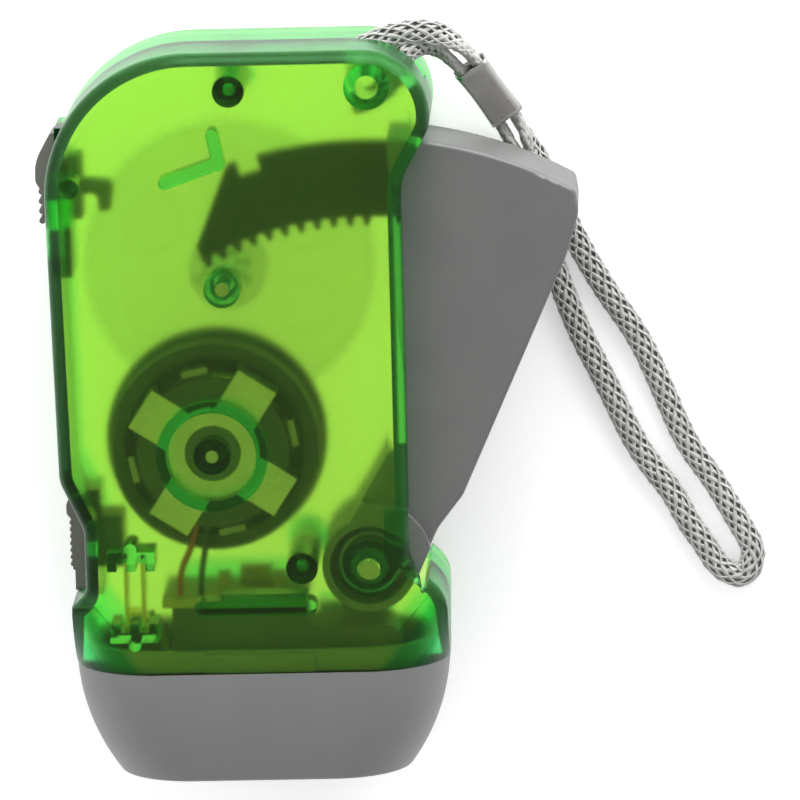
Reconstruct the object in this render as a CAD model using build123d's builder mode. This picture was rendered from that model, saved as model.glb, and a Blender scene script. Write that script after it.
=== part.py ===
from build123d import *
import os
from math import cos, degrees, pi, radians, sin, sqrt, tan

os.makedirs("parts", exist_ok=True)

# A squeeze-lever torch lying on its back. Z = 0 is the rear face that it rests on,
# +Z goes towards the front face, +Y towards the strap end, -Y towards the lens,
# and the lever is on the +X side. All sizes are in millimetres.

# Body
thickness = 30.0
mid_z = thickness / 2
wall = 2.0
top_y = 52.5
seam_y = -36.2
nose_half = 26.7
left_x = 29.2
bulge_x = 25.8
grip_x = 21.5
edge_round = 2.6
recess_x = 24.6
recess_bottom_y = -26.6
recess_top_y = -8.4

# Nose
nose_y = -52.5
nose_corner = 12.5
nose_front_width = 41.6
nose_front_height = 23.6
nose_front_corner = 11.0
nose_rim_round = 0.8
nose_blend_y = -20.0
spigot_length = 3.0
spigot_wall = 1.2
snap_width = 15.2
snap_height = 0.7

# Lens, reflector and lamps
window_width = 34.0
window_height = 14.0
lens_flange = 1.6
lens_thickness = 1.2
lens_inset = 0.6
reflector_depth = 7.0
led_pitch = 9.6
led_radius = 2.5
led_flange = 0.4
led_flange_thickness = 1.0
led_length = 5.7
board_thickness = 1.2

# Lever and sector
pivot_x = 15.7
pivot_y = -21.6
lever_thickness = 17.0
lever_reach = 61.0
lever_wall = 1.8
lever_closing = 22.0
hub_radius = 6.7
hub_rise = 2.0
hub_disc = 9.0
pin_radius = 1.65
running_gap = 0.05
tooth_module = 0.75
sector_teeth = 128
pinion_teeth = 8
sector_thickness = 3.4
sector_outer = 59.5
sector_first_angle = 28.1
pinion_angle = 26.0

# Gear train
gear_module = 0.5
gear_teeth = 82
wheel_pinion_teeth = 14
gear_thickness = 2.6
gear_axle_radius = 1.0
wheel_axle_radius = 0.9
train_lean = 5.0
clutch_radius = 5.5
clutch_teeth = 8

# Flywheel and generator
wheel_radius = 15.8
wheel_thickness = 3.5
wheel_top = -1.5
cup_radius = 14.9
cup_top = 5.0
magnet_thickness = 1.3
air_gap = 0.4
claw_radius = 12.5
claw_width = 6.3
claw_sheet = 0.9
stator_top = 10.2
stator_bottom = 2.4
core_radius = 5.0
core_wall = 1.0

# Bosses
screw_boss_radius = 2.25
screw_radius = 0.9
screw_head_radius = 1.9
strap_boss_radius = 3.2
strap_pin_radius = 1.65

# Sliders
lock_travel = 4.0
switch_travel = 2.0
slide_gap = 0.3

# Strap
strap_diameter = 2.2

# Values that follow from the ones above
half = mid_z - wall
sector_pitch_radius = tooth_module * sector_teeth / 2
pinion_pitch_radius = tooth_module * pinion_teeth / 2
gear_pitch_radius = gear_module * gear_teeth / 2
wheel_pinion_pitch_radius = gear_module * wheel_pinion_teeth / 2
gear_distance = sector_pitch_radius - pinion_pitch_radius
gear_x = pivot_x - gear_distance * sin(radians(pinion_angle))
gear_y = pivot_y + gear_distance * cos(radians(pinion_angle))
wheel_distance = gear_pitch_radius + wheel_pinion_pitch_radius
wheel_x = gear_x - wheel_distance * sin(radians(train_lean))
wheel_y = gear_y - wheel_distance * cos(radians(train_lean))
lever_half = lever_thickness / 2
slot_half = lever_half + 0.4
lever_room = lever_reach + 0.6


def level(height):
    """The plane at this height above the parting plane."""
    return Plane.XY.offset(mid_z + height)


def across(y):
    """The upright plane across the body at y, centred on the parting plane."""
    return Plane(origin=(0, y, mid_z), x_dir=(1, 0, 0), z_dir=(0, -1, 0))


def side_plane(x):
    """The upright plane along the body at x, with its normal towards -X."""
    return Plane(origin=(x, 0, mid_z), x_dir=(0, -1, 0), z_dir=(-1, 0, 0))


def fill_corners(sketch, corners):
    """Fill the outline with these corners, each given as x, y and radius."""
    with BuildLine() as outline:
        Polyline(*[(x, y) for x, y, _ in corners], close=True)
    make_face(outline.edges())
    for x, y, radius in corners:
        if radius > 0:
            fillet(sketch.vertices().sort_by_distance((x, y, 0))[0], radius)


def from_pivot(radius, angle):
    """The point at this radius from the lever's pivot, angle degrees left of +Y."""
    turn = radians(angle)
    return pivot_x - radius * sin(turn), pivot_y + radius * cos(turn)


def body_corners(inset):
    """Corners of the body's outline, moved inwards by inset."""
    foot_y = -20.6
    shoulder_y = -25.6
    return [
        (-nose_half + inset, seam_y, 0),
        (-nose_half + inset, recess_bottom_y - inset * 0.6, 0),
        (-recess_x + inset, -24.4 - inset * 0.6, 2.0 + inset),
        (-recess_x + inset, -15.4 + inset * 0.3, 5.0 + inset),
        (-left_x + 1.3 + inset, recess_top_y + inset * 0.3, 5.0 - inset),
        (-left_x + inset, top_y - inset, 20.5 - inset),
        (bulge_x - inset, top_y - inset, 9.5 - inset),
        (bulge_x - inset, 41.4 + inset * 0.3, 5.0 - inset),
        (grip_x - inset, 33.7 + inset * 0.3, 8.0),
        (grip_x - inset, foot_y - inset * 0.4, 3.0),
        (nose_half - inset, shoulder_y - inset * 0.4, 5.0 - inset),
        (nose_half - inset, seam_y, 0),
    ]


# ---------------------------------------------------------------- body forms
def nose_section(inset):
    """Rounded section of the body at the seam."""
    RectangleRounded(2 * (nose_half - inset), 2 * (mid_z - inset), nose_corner - inset)


def blend_cutter(inset, corner):
    """What the rounding of the nose takes off a square-edged body."""
    spare = 0.04
    with BuildSketch(across(nose_blend_y)) as block:
        Rectangle(2 * left_x + 4, thickness + 4)
    extrude(block.sketch, amount=nose_blend_y - seam_y)
    with BuildSketch(across(seam_y)) as seam_face:
        nose_section(inset - spare)
    with BuildSketch(across(nose_blend_y)) as blend_face:
        RectangleRounded(2 * (left_x + 1 - inset), 2 * (mid_z + 0.1 - inset), corner)
    loft(sections=[seam_face.sketch, blend_face.sketch], ruled=True, mode=Mode.SUBTRACT)


with BuildPart() as outer_form:
    with BuildSketch(Plane.XY) as outer_face:
        fill_corners(outer_face, body_corners(0))
    extrude(amount=thickness)
    rims = outer_form.edges().group_by(Axis.Z)
    fillet(rims[0] + rims[-1] - outer_form.edges().filter_by(Axis.X).group_by(Axis.Y)[0], edge_round)

with BuildPart() as nose_corners:
    blend_cutter(0, edge_round)

with BuildPart() as cavity_form:
    with BuildSketch(level(-half)) as cavity_face:
        fill_corners(cavity_face, body_corners(wall))
    extrude(amount=2 * half)

with BuildPart() as cavity_corners:
    blend_cutter(wall, 0.4)

lip_y = -13.2
face_edge_x = grip_x - 0.1
foot_notch = [
    (face_edge_x, lip_y, 0),
    (left_x + 3, lip_y + 0.8, 0),
    (left_x + 3, -20.2, 0),
    (24.4, -22.6, 0),
    (23.2, -25.7, 0.25),
    (22.8, -23.2, 2.0),
    (face_edge_x, -19.6, 3.0),
]
foot_room = [
    (grip_x - wall - 0.4, lip_y, 0),
    (left_x + 3, lip_y + 0.8, 0),
    (left_x + 3, -20.2, 0),
    (24.4, -22.6, 0),
    (23.2, -25.7, 0),
    (grip_x - wall - 0.4, -20.8, 3.0),
]

with BuildPart() as hollow:
    add(cavity_form.part)
    add(cavity_corners.part, mode=Mode.SUBTRACT)
    with BuildSketch(level(-slot_half)):
        with Locations(((grip_x + left_x) / 2 + 2, (lip_y + pivot_y + lever_room) / 2)):
            Rectangle(left_x - grip_x + 2 * wall + 6, pivot_y + lever_room - lip_y)
    extrude(amount=2 * slot_half)
    with BuildSketch(Plane.XY.offset(-1)) as notch_face:
        fill_corners(notch_face, foot_notch)
    extrude(amount=thickness + 2)
    hub_room = lever_half + hub_rise + 0.4
    with BuildSketch(level(-hub_room)) as room_face:
        fill_corners(room_face, foot_room)
        with Locations((pivot_x, pivot_y)):
            Circle(hub_radius + 0.7)
    extrude(amount=2 * hub_room)

# Strap opening through the top right corner, at the parting plane
strap_x = 17.0
strap_y = 47.2
with BuildPart() as strap_opening:
    with BuildSketch(level(-strap_diameter / 2 - 0.5)) as strap_face:
        fill_corners(
            strap_face,
            [
                (strap_x - 3.0, top_y - wall - 0.5, 0),
                (strap_x - 3.0, top_y - 0.9, 0),
                (strap_x + 1.5, top_y + 2, 0),
                (left_x, top_y + 2, 0),
                (left_x, 48.2, 0),
                (strap_x + 2, 44.6, 0),
            ],
        )
    extrude(amount=strap_diameter + 1.0)

# Pocket and slot of the lock slider in the left wall
lock_top_y = 40.2
lock_end_y = 26.8
lock_floor_x = left_x - 1.6
lock_ridge_x = left_x + 0.55
lock_width = 7.0
neck_top_y = 34.2
neck_bottom_y = 30.6
neck_thickness = 3.0
with BuildPart() as lock_pocket:
    with BuildSketch(level(-lock_width / 2 - slide_gap)):
        with Locations((-lock_floor_x - 3, (lock_top_y + lock_end_y - lock_travel) / 2)):
            Rectangle(6, lock_top_y - lock_end_y + lock_travel + 2 * slide_gap)
    extrude(amount=lock_width + 2 * slide_gap)
    with BuildSketch(level(-neck_thickness / 2 - slide_gap)):
        with Locations((-lock_floor_x, (neck_top_y + neck_bottom_y - lock_travel) / 2)):
            Rectangle(8, neck_top_y - neck_bottom_y + lock_travel + 2 * slide_gap)
    extrude(amount=neck_thickness + 2 * slide_gap)

with BuildPart() as lock_pad:
    with BuildSketch(level(-lock_width / 2 - 2)):
        with Locations((-lock_floor_x + wall / 2, (lock_top_y + lock_end_y - lock_travel) / 2 - 1)):
            Rectangle(wall, lock_top_y - lock_end_y + lock_travel + 2 * wall)
    extrude(amount=lock_width + 4)

# Pad and slot of the light switch in the recess of the left wall
bezel_top_y = -11.2
bezel_bottom_y = -25.8
bezel_half = 4.6
bezel_seat_x = recess_x + 0.4
stem_top_y = -15.6
stem_bottom_y = -18.8
stem_half = 1.5
switch_wall_x = recess_x - wall
with BuildPart() as switch_pad:
    with BuildSketch(level(-bezel_half - 0.8)):
        with Locations((-(bezel_seat_x + switch_wall_x) / 2, (bezel_top_y + bezel_bottom_y) / 2)):
            Rectangle(bezel_seat_x - switch_wall_x, bezel_top_y - bezel_bottom_y + 0.6)
    extrude(amount=2 * bezel_half + 1.6)

with BuildPart() as switch_opening:
    with BuildSketch(level(-bezel_half - slide_gap)):
        with Locations((-bezel_seat_x - 3, (bezel_top_y + bezel_bottom_y) / 2)):
            Rectangle(6, bezel_top_y - bezel_bottom_y + 2 * slide_gap)
    extrude(amount=2 * (bezel_half + slide_gap))
    with BuildSketch(level(-stem_half - slide_gap)):
        with Locations((-bezel_seat_x, (stem_top_y + stem_bottom_y - switch_travel) / 2)):
            Rectangle(8, stem_top_y - stem_bottom_y + switch_travel + 2 * slide_gap)
    extrude(amount=2 * (stem_half + slide_gap))

# Where the case screws, the axles and the circuit board stand
screw_places = [(-2.4, 47.0), (6.2, -21.4)]
board_y = -27.6
board_left = -14.0
board_right = 6.6
board_half = 9.0
cell_radius = 3.9
cell_thickness = 3.5
cell_x = 7.6
cell_y = board_y - 6.1
cell_z = mid_z - 6.5
stator_ring = 7.9
stator_ring_wall = 1.6
axle_boss = 2.6
wheel_boss_end = 5.0
gear_boss_end = 8.9
pivot_boss = 4.1
pivot_boss_end = lever_half + hub_rise + 0.2
axle_depth = half + wall * 0.55


def post(x, y, radius, low, high, mode=Mode.ADD):
    """A round post or hole between two heights about the parting plane."""
    with BuildSketch(level(low)) as section:
        with Locations((x, y)):
            Circle(radius)
    extrude(section.sketch, amount=high - low, mode=mode)


def bar(x, y, long, wide, turn, low, high, mode=Mode.ADD):
    """An upright bar rib with round ends, turned about its middle."""
    with BuildSketch(level(low)) as section:
        with Locations(Location((x, y, 0), (0, 0, turn))):
            SlotOverall(long, wide)
    extrude(section.sketch, amount=high - low, mode=mode)


def comb(x, y, up):
    """A small comb rib that grips the ends of the contact leaf."""
    with BuildSketch(level(6.0)) as section:
        with Locations((x, y)):
            Rectangle(6.8, 1.5)
        for step in (-1, 0, 1):
            with Locations((x + step * 2.7, y + up * 1.2)):
                Rectangle(1.3, 1.6)
        with Locations((x, y - up * 1.1)):
            Circle(0.9)
    extrude(section.sketch, amount=half - 6.0 + 0.2)


# ------------------------------------------------------------- front shell
with BuildPart() as front_shell:
    add(outer_form.part)
    add(nose_corners.part, mode=Mode.SUBTRACT)
    add(hollow.part, mode=Mode.SUBTRACT)
    add(lock_pad.part)
    add(switch_pad.part)
    add(lock_pocket.part, mode=Mode.SUBTRACT)
    add(switch_opening.part, mode=Mode.SUBTRACT)
    add(strap_opening.part, mode=Mode.SUBTRACT)
    split(bisect_by=level(0), keep=Keep.TOP)
    # Screw, strap, pivot and axle bosses, standing on the inside of the face
    for x, y in screw_places:
        post(x, y, screw_boss_radius, 0, half + 0.2)
        post(x, y, screw_radius, 0, half - 3, mode=Mode.SUBTRACT)
    post(strap_x, strap_y, strap_boss_radius, 3.0, half + 0.2)
    post(strap_x, strap_y, strap_pin_radius + 0.02, 3.0, half, mode=Mode.SUBTRACT)
    post(pivot_x, pivot_y, pivot_boss, pivot_boss_end, half + 0.2)
    post(pivot_x, pivot_y, pin_radius + 0.02, pivot_boss_end, axle_depth, mode=Mode.SUBTRACT)
    post(gear_x, gear_y, axle_boss, gear_boss_end, half + 0.2)
    post(gear_x, gear_y, gear_axle_radius + 0.02, gear_boss_end, half, mode=Mode.SUBTRACT)
    # Ring that holds the stator, round the flywheel's boss
    post(wheel_x, wheel_y, stator_ring, stator_top, half + 0.2)
    post(wheel_x, wheel_y, stator_ring - stator_ring_wall, stator_top, half, mode=Mode.SUBTRACT)
    post(wheel_x, wheel_y, axle_boss, wheel_boss_end, half + 0.2)
    post(wheel_x, wheel_y, wheel_axle_radius + 0.02, wheel_boss_end, half, mode=Mode.SUBTRACT)
    # Stop peg beside the lock slider, and the bent rib over the sector's end
    post(-25.2, 33.6, 1.4, lock_width / 2 + 2.2, half + 0.2)
    bar(-8.0, 35.4, 9.6, 1.7, 19.0, lever_half + 0.7, half + 0.2)
    bar(-4.5, 38.7, 6.0, 1.7, 101.0, lever_half + 0.7, half + 0.2)
    # Ribs over the circuit board's edge and the combs of the contact leaf
    bar(-0.5, board_y + board_thickness / 2, 17.4, 2.2, 0.0, board_half, half + 0.2)
    with BuildSketch(level(board_half)):
        with Locations((0.8, board_y + board_thickness / 2 + 1.3)):
            Rectangle(12.4, 1.4)
    extrude(amount=half - board_half + 0.2)
    comb(-18.1, -19.4, -1)
    comb(-17.8, -31.0, 1)
    # Side rib beside the lever's foot
    with BuildSketch(level(hub_room)):
        with Locations((grip_x - 2.7, -16.8)):
            Rectangle(1.6, 6.6)
    extrude(amount=half - hub_room + 0.2)
    # Pocket for the nose cap's snap
    with BuildSketch(across(seam_y)):
        with Locations((0, half + snap_height / 2 - 0.1)):
            Rectangle(snap_width + 0.4, snap_height + 0.2)
    extrude(amount=-spigot_length + 0.3, mode=Mode.SUBTRACT)
front_shell.part.label = "front_shell"
export_step(front_shell.part, "parts/front_shell.step")

# -------------------------------------------------------------- rear shell
with BuildPart() as rear_shell:
    add(outer_form.part)
    add(nose_corners.part, mode=Mode.SUBTRACT)
    add(hollow.part, mode=Mode.SUBTRACT)
    add(lock_pad.part)
    add(switch_pad.part)
    add(lock_pocket.part, mode=Mode.SUBTRACT)
    add(switch_opening.part, mode=Mode.SUBTRACT)
    add(strap_opening.part, mode=Mode.SUBTRACT)
    split(bisect_by=level(0), keep=Keep.BOTTOM)
    for x, y in screw_places:
        post(x, y, screw_head_radius + 1.0, -mid_z + 0.5, -half + 2.2)
        post(x, y, screw_boss_radius, -half + 2.0, 0)
        post(x, y, screw_radius + 0.1, -mid_z - 1, 0, mode=Mode.SUBTRACT)
        post(x, y, screw_head_radius + 0.2, -mid_z - 1, -half, mode=Mode.SUBTRACT)
    post(strap_x, strap_y, strap_boss_radius, -half - 0.2, -3.0)
    post(strap_x, strap_y, strap_pin_radius, -3.2, half - 0.2)
    post(pivot_x, pivot_y, pivot_boss, -half - 0.2, -pivot_boss_end)
    post(pivot_x, pivot_y, pin_radius + 0.02, -axle_depth, -pivot_boss_end, mode=Mode.SUBTRACT)
    post(gear_x, gear_y, axle_boss, -half - 0.2, -half + 0.4)
    post(gear_x, gear_y, gear_axle_radius + 0.02, -axle_depth, 0, mode=Mode.SUBTRACT)
    post(wheel_x, wheel_y, axle_boss, -half - 0.2, -half + 0.4)
    post(wheel_x, wheel_y, wheel_axle_radius + 0.02, -axle_depth, 0, mode=Mode.SUBTRACT)
    # Cradle of the button cells
    with BuildSketch(level(-half - 0.2)):
        with Locations((cell_x + 5.4, cell_y + 2.3)):
            Rectangle(10.8, 2.8)
    extrude(amount=cell_z - wall + 0.2)
    with BuildSketch(Plane.YZ.offset(cell_x - 1)):
        with Locations((cell_y, cell_z)):
            Circle(cell_radius)
    extrude(amount=13, mode=Mode.SUBTRACT)
    # Two ribs that the circuit board stands between, and a foot under its edge
    for rib_y in (board_y - 0.9, board_y + board_thickness + 0.9):
        bar(-3.7, rib_y, 16.0, 1.6, 0.0, -half - 0.2, -half + 6.0)
    with BuildSketch(level(-half - 0.2)):
        with Locations((-3.7, board_y + board_thickness / 2)):
            Rectangle(16.0, board_thickness + 0.4)
    extrude(amount=half - board_half + 0.2)
    with BuildSketch(level(-half - 0.2)):
        with Locations((grip_x - 2.7, -16.8)):
            Rectangle(1.6, 6.6)
    extrude(amount=half - hub_room + 0.2)
    with BuildSketch(across(seam_y)):
        with Locations((0, -half - snap_height / 2 + 0.1)):
            Rectangle(snap_width + 0.4, snap_height + 0.2)
    extrude(amount=-spigot_length + 0.3, mode=Mode.SUBTRACT)
rear_shell.part.label = "rear_shell"
export_step(rear_shell.part, "parts/rear_shell.step")

# --------------------------------------------------------------- nose cap
nose_sections = [
    (seam_y, 2 * nose_half, thickness, nose_corner),
    (-42.0, 51.6, 29.2, 12.5),
    (-47.5, 47.6, 27.0, 12.0),
    (nose_y, nose_front_width, nose_front_height, nose_front_corner),
]


def nose_loft(inset, last_y, mode):
    """Loft through the sections of the nose, each moved inwards by inset."""
    faces = []
    for y, width, height, corner in nose_sections:
        place = last_y if y == nose_y else y
        with BuildSketch(across(place)) as section:
            RectangleRounded(width - 2 * inset, height - 2 * inset, corner - inset)
        faces.append(section.sketch)
    loft(sections=faces, mode=mode)


with BuildPart() as nose_cap:
    nose_loft(0, nose_y, Mode.ADD)
    rim = nose_cap.faces().sort_by(Axis.Y)[0]
    fillet(rim.edges(), nose_rim_round)
    nose_loft(wall, nose_y + wall, Mode.SUBTRACT)
    with BuildSketch(across(nose_y + wall + 0.5)):
        RectangleRounded(window_width, window_height, window_height / 2 - 0.1)
    extrude(amount=wall + 1, mode=Mode.SUBTRACT)
    spigot = wall + 0.12
    with BuildSketch(across(seam_y + spigot_length)):
        nose_section(spigot)
    extrude(amount=spigot_length + 2.5)
    with BuildSketch(across(seam_y + spigot_length + 1)):
        nose_section(spigot + spigot_wall)
    extrude(amount=spigot_length + 5, mode=Mode.SUBTRACT)
    for side in (-1, 1):
        with BuildSketch(across(seam_y + spigot_length - 0.6)):
            with Locations((0, side * (half + snap_height / 2 - 0.25))):
                Rectangle(snap_width, snap_height)
        extrude(amount=spigot_length - 0.6)
nose_cap.part.label = "nose_cap"
export_step(nose_cap.part, "parts/nose_cap.step")

# ------------------------------------------------------ lens and reflector
lens_back_y = nose_y + wall + lens_thickness
with BuildPart() as lens:
    with BuildSketch(across(lens_back_y)):
        RectangleRounded(
            window_width + 2 * lens_flange,
            window_height + 2 * lens_flange,
            window_height / 2 - 0.1 + lens_flange,
        )
    extrude(amount=lens_thickness)
    with BuildSketch(across(nose_y + wall)):
        RectangleRounded(window_width - 0.2, window_height - 0.2, window_height / 2 - 0.2)
    extrude(amount=wall - lens_inset)
lens.part.label = "lens"
export_step(lens.part, "parts/lens.step")

reflector_back_y = lens_back_y + reflector_depth
led_places = [-led_pitch, 0, led_pitch]
cup_mouth = led_pitch / 2 - 0.3
cup_throat = led_radius + 0.15
with BuildPart() as reflector:
    with BuildSketch(across(reflector_back_y)):
        RectangleRounded(
            window_width + 2 * lens_flange,
            window_height + 2 * lens_flange,
            window_height / 2 - 0.1 + lens_flange,
        )
    extrude(amount=reflector_depth)
    for x in led_places:
        with BuildSketch(Plane(origin=(x, 0, mid_z), x_dir=(1, 0, 0), z_dir=(0, 0, 1))):
            with BuildLine():
                Polyline(
                    (cup_mouth, lens_back_y - 1),
                    (0, lens_back_y - 1),
                    (0, reflector_back_y + 1),
                    (cup_throat, reflector_back_y + 1),
                    (cup_throat, reflector_back_y - 1.2),
                )
                ThreePointArc(
                    (cup_throat, reflector_back_y - 1.2),
                    (cup_mouth - 0.55, lens_back_y + 2.4),
                    (cup_mouth, lens_back_y - 1),
                )
            make_face()
        revolve(axis=Axis((x, 0, mid_z), (0, 1, 0)), mode=Mode.SUBTRACT)
reflector.part.label = "reflector"
export_step(reflector.part, "parts/reflector.step")

# --------------------------------------------------- LEDs and their board
led_board_y = reflector_back_y + led_flange_thickness + 2.2
lead_pitch = 1.27
for number, x in enumerate(led_places, start=1):
    with BuildPart() as led:
        with BuildSketch(across(reflector_back_y + led_flange_thickness)):
            with Locations((x, 0)):
                Circle(led_radius + led_flange)
        extrude(amount=led_flange_thickness)
        with BuildSketch(across(reflector_back_y)):
            with Locations((x, 0)):
                Circle(led_radius)
        extrude(amount=led_length - led_radius)
        with Locations((x, reflector_back_y - led_length + led_radius, mid_z)):
            Sphere(led_radius)
        for side in (-1, 1):
            with BuildSketch(across(led_board_y)):
                with Locations((x + side * lead_pitch, 0)):
                    Rectangle(0.5, 0.5)
            extrude(amount=2.2 + 0.2)
    led.part.label = f"led_{number}"
    export_step(led.part, f"parts/led_{number}.step")

with BuildPart() as led_board:
    with BuildSketch(across(led_board_y + board_thickness)):
        Rectangle(2 * led_pitch + 9, 13.0)
    extrude(amount=board_thickness)
led_board.part.label = "led_board"
export_step(led_board.part, "parts/led_board.step")

# ------------------------------------------- circuit board and lamp holder
with BuildPart() as circuit_board:
    with BuildSketch(across(board_y + board_thickness)):
        with Locations(((board_left + board_right) / 2, 0)):
            Rectangle(board_right - board_left, 2 * board_half)
    extrude(amount=board_thickness)
    # Capacitor and two diodes soldered to its upper side
    with BuildSketch(across(board_y + board_thickness + 2.4)):
        with Locations((-1.0, -3.6)):
            Rectangle(4.6, 2.6)
        with Locations((2.6, 1.2)):
            Rectangle(1.8, 3.0)
        with Locations((-5.4, 1.2)):
            Rectangle(1.8, 3.0)
    extrude(amount=2.4)
circuit_board.part.label = "circuit_board"
export_step(circuit_board.part, "parts/circuit_board.step")

holder_front_y = led_board_y + board_thickness
holder_top = board_half
holder_bottom = -2.0
holder_wall = 1.2
holder_corners = [
    (-12.6, board_y, 0),
    (-12.6, holder_front_y, 0),
    (19.8, holder_front_y, 0),
    (19.8, board_y - 3.0, 2.0),
    (board_right, board_y - 3.0, 0),
    (board_right, board_y, 0),
]
with BuildPart() as lamp_holder:
    with BuildSketch(level(holder_bottom)) as holder_face:
        fill_corners(holder_face, holder_corners)
    extrude(amount=holder_top - holder_bottom)
    with BuildSketch(level(holder_bottom)) as holder_hollow:
        fill_corners(holder_hollow, holder_corners)
        offset(amount=-holder_wall, kind=Kind.INTERSECTION, mode=Mode.REPLACE)
    extrude(amount=holder_top - holder_bottom - 1.5, mode=Mode.SUBTRACT)
lamp_holder.part.label = "lamp_holder"
export_step(lamp_holder.part, "parts/lamp_holder.step")

with BuildPart() as button_cells:
    for number in range(3):
        with BuildSketch(Plane.YZ.offset(cell_x + number * (cell_thickness + 0.1))):
            with Locations((cell_y, cell_z)):
                Circle(cell_radius)
        extrude(amount=cell_thickness)
        chamfer(button_cells.edges().filter_by(GeomType.CIRCLE).sort_by(Axis.X)[-1], 0.4)
button_cells.part.label = "button_cells"
export_step(button_cells.part, "parts/button_cells.step")

# ------------------------------------------------------------------- lever
palm_low = (29.2, -12.2)
palm_high = (44.6, 22.0)
inner_x = 19.6


def lever_corners(inset):
    """Corners of the lever seen from the front, with inset taken off the hand side."""
    return [
        (pivot_x - 4.64, pivot_y + 2.65, 0),
        (inner_x, -4.1, 0),
        (inner_x, 45.0, 0),
        (44.0 - inset, 45.0, 0),
        (46.5 - inset, 28.2, 5.0),
        (palm_high[0] - inset, palm_high[1], 8.0),
        (palm_low[0] - inset, palm_low[1], 4.0),
        (25.5 - inset, -16.9, 7.0),
        (22.5 - inset, -23.6, 0.5),
        (pivot_x, pivot_y, 0),
    ]


def sector_tooth(angle):
    """One tooth of the sector, pointing at the pivot."""
    root_half = 0.72
    tip_half = 0.30
    root = sector_pitch_radius + 0.9
    tip = sector_pitch_radius - 0.55
    corners = []
    for radius, offset_x in ((root, root_half), (tip, tip_half), (tip, -tip_half), (root, -root_half)):
        corners.append(from_pivot(radius, angle + degrees(offset_x / radius)))
    with BuildLine() as outline:
        Polyline(*corners, close=True)
    make_face(outline.edges())


tooth_step = 360 / sector_teeth
sector_root = sector_pitch_radius + 0.75
notch_angle = 16.0
with BuildPart() as lever:
    with BuildSketch(level(-lever_half)) as lever_face:
        fill_corners(lever_face, lever_corners(0))
        with Locations((pivot_x, pivot_y)):
            Circle(lever_reach, mode=Mode.INTERSECT)
        top_corner = lever_face.vertices().sort_by_distance(from_pivot(lever_reach, -29.4) + (0,))[0]
        fillet(top_corner, 1.2)
    extrude(amount=lever_thickness)
    outer_edges = lever.edges().group_by(Axis.Z)[0] + lever.edges().group_by(Axis.Z)[-1]
    hand_side = outer_edges.filter_by(lambda e: (e @ 0.5).X > inner_x + 3.5)
    fillet(hand_side, 0.6)
    # Raised disc round the pivot, on both faces, and the hub
    with BuildSketch(level(-lever_half - hub_rise)) as disc_face:
        fill_corners(disc_face, lever_corners(0))
        with Locations((pivot_x, pivot_y)):
            Circle(hub_disc, mode=Mode.INTERSECT)
            Circle(hub_radius)
    extrude(amount=lever_thickness + 2 * hub_rise)
    # Hollow, open towards the body
    with BuildSketch(level(-lever_half + lever_wall)) as lever_hollow:
        fill_corners(
            lever_hollow,
            [
                (inner_x - 2, 0.0, 0),
                (inner_x - 2, 45.0, 0),
                (44.0 - lever_wall, 45.0, 0),
                (46.5 - lever_wall, 28.2, 5.0),
                (palm_high[0] - lever_wall * 1.1, palm_high[1], 8.0),
                (palm_low[0] - lever_wall * 1.1 + 2.6, palm_low[1] + 6.0, 1.0),
                (inner_x + 5.0, palm_low[1] + 4.5, 1.0),
            ],
        )
        with Locations((pivot_x, pivot_y)):
            Circle(lever_reach - lever_wall, mode=Mode.INTERSECT)
    extrude(amount=lever_thickness - 2 * lever_wall, mode=Mode.SUBTRACT)
    # Toothed sector: a band about the pivot, open at its left end
    with BuildSketch(level(-sector_thickness / 2)):
        with BuildLine():
            Line(from_pivot(sector_root, -27.0), from_pivot(sector_outer, -27.0))
            ThreePointArc(
                from_pivot(sector_outer, -27.0),
                from_pivot(sector_outer, 0),
                from_pivot(sector_outer, 18.9),
            )
            Line(from_pivot(sector_outer, 18.9), from_pivot(50.8, sector_first_angle - 0.2))
            Line(from_pivot(50.8, sector_first_angle - 0.2), from_pivot(sector_root, sector_first_angle))
            ThreePointArc(
                from_pivot(sector_root, sector_first_angle),
                from_pivot(sector_root, 10),
                from_pivot(sector_root, -27.0),
            )
        make_face()
        for number in range(11):
            sector_tooth(pinion_angle + tooth_step / 2 - number * tooth_step)
        with Locations(Location(from_pivot(sector_outer, notch_angle) + (0,), (0, 0, notch_angle))):
            Rectangle(3.2, 4.4, mode=Mode.SUBTRACT)
    extrude(amount=sector_thickness)
    # Pin bore, and the ring-shaped hollow for the return spring
    post(pivot_x, pivot_y, pin_radius + running_gap, -mid_z, mid_z, mode=Mode.SUBTRACT)
    with BuildSketch(level(3.0)):
        with Locations((pivot_x, pivot_y)):
            Circle(5.6)
            Circle(2.6, mode=Mode.SUBTRACT)
    extrude(amount=mid_z, mode=Mode.SUBTRACT)
lever.part.label = "lever"
export_step(lever.part, "parts/lever.step")

with BuildPart() as lever_pin:
    post(pivot_x, pivot_y, pin_radius, -axle_depth, axle_depth)
    chamfer(lever_pin.edges().filter_by(GeomType.CIRCLE), 0.25)
lever_pin.part.label = "lever_pin"
export_step(lever_pin.part, "parts/lever_pin.step")


# ---------------------------------------------------------------- springs
def biarc(start, start_way, end, end_way):
    """Two tangent arcs from one point and direction to another."""
    chord = end - start
    ways = start_way + end_way
    spread = 2 * (1 - start_way.dot(end_way))
    reach = (-chord.dot(ways) + sqrt(chord.dot(ways) ** 2 + spread * chord.dot(chord))) / spread
    near = start + start_way * reach
    far = end - end_way * reach
    middle = (near + far) * 0.5
    TangentArc(start, middle, tangent=start_way)
    TangentArc(middle, end, tangent=(far - near).normalized())


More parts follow.
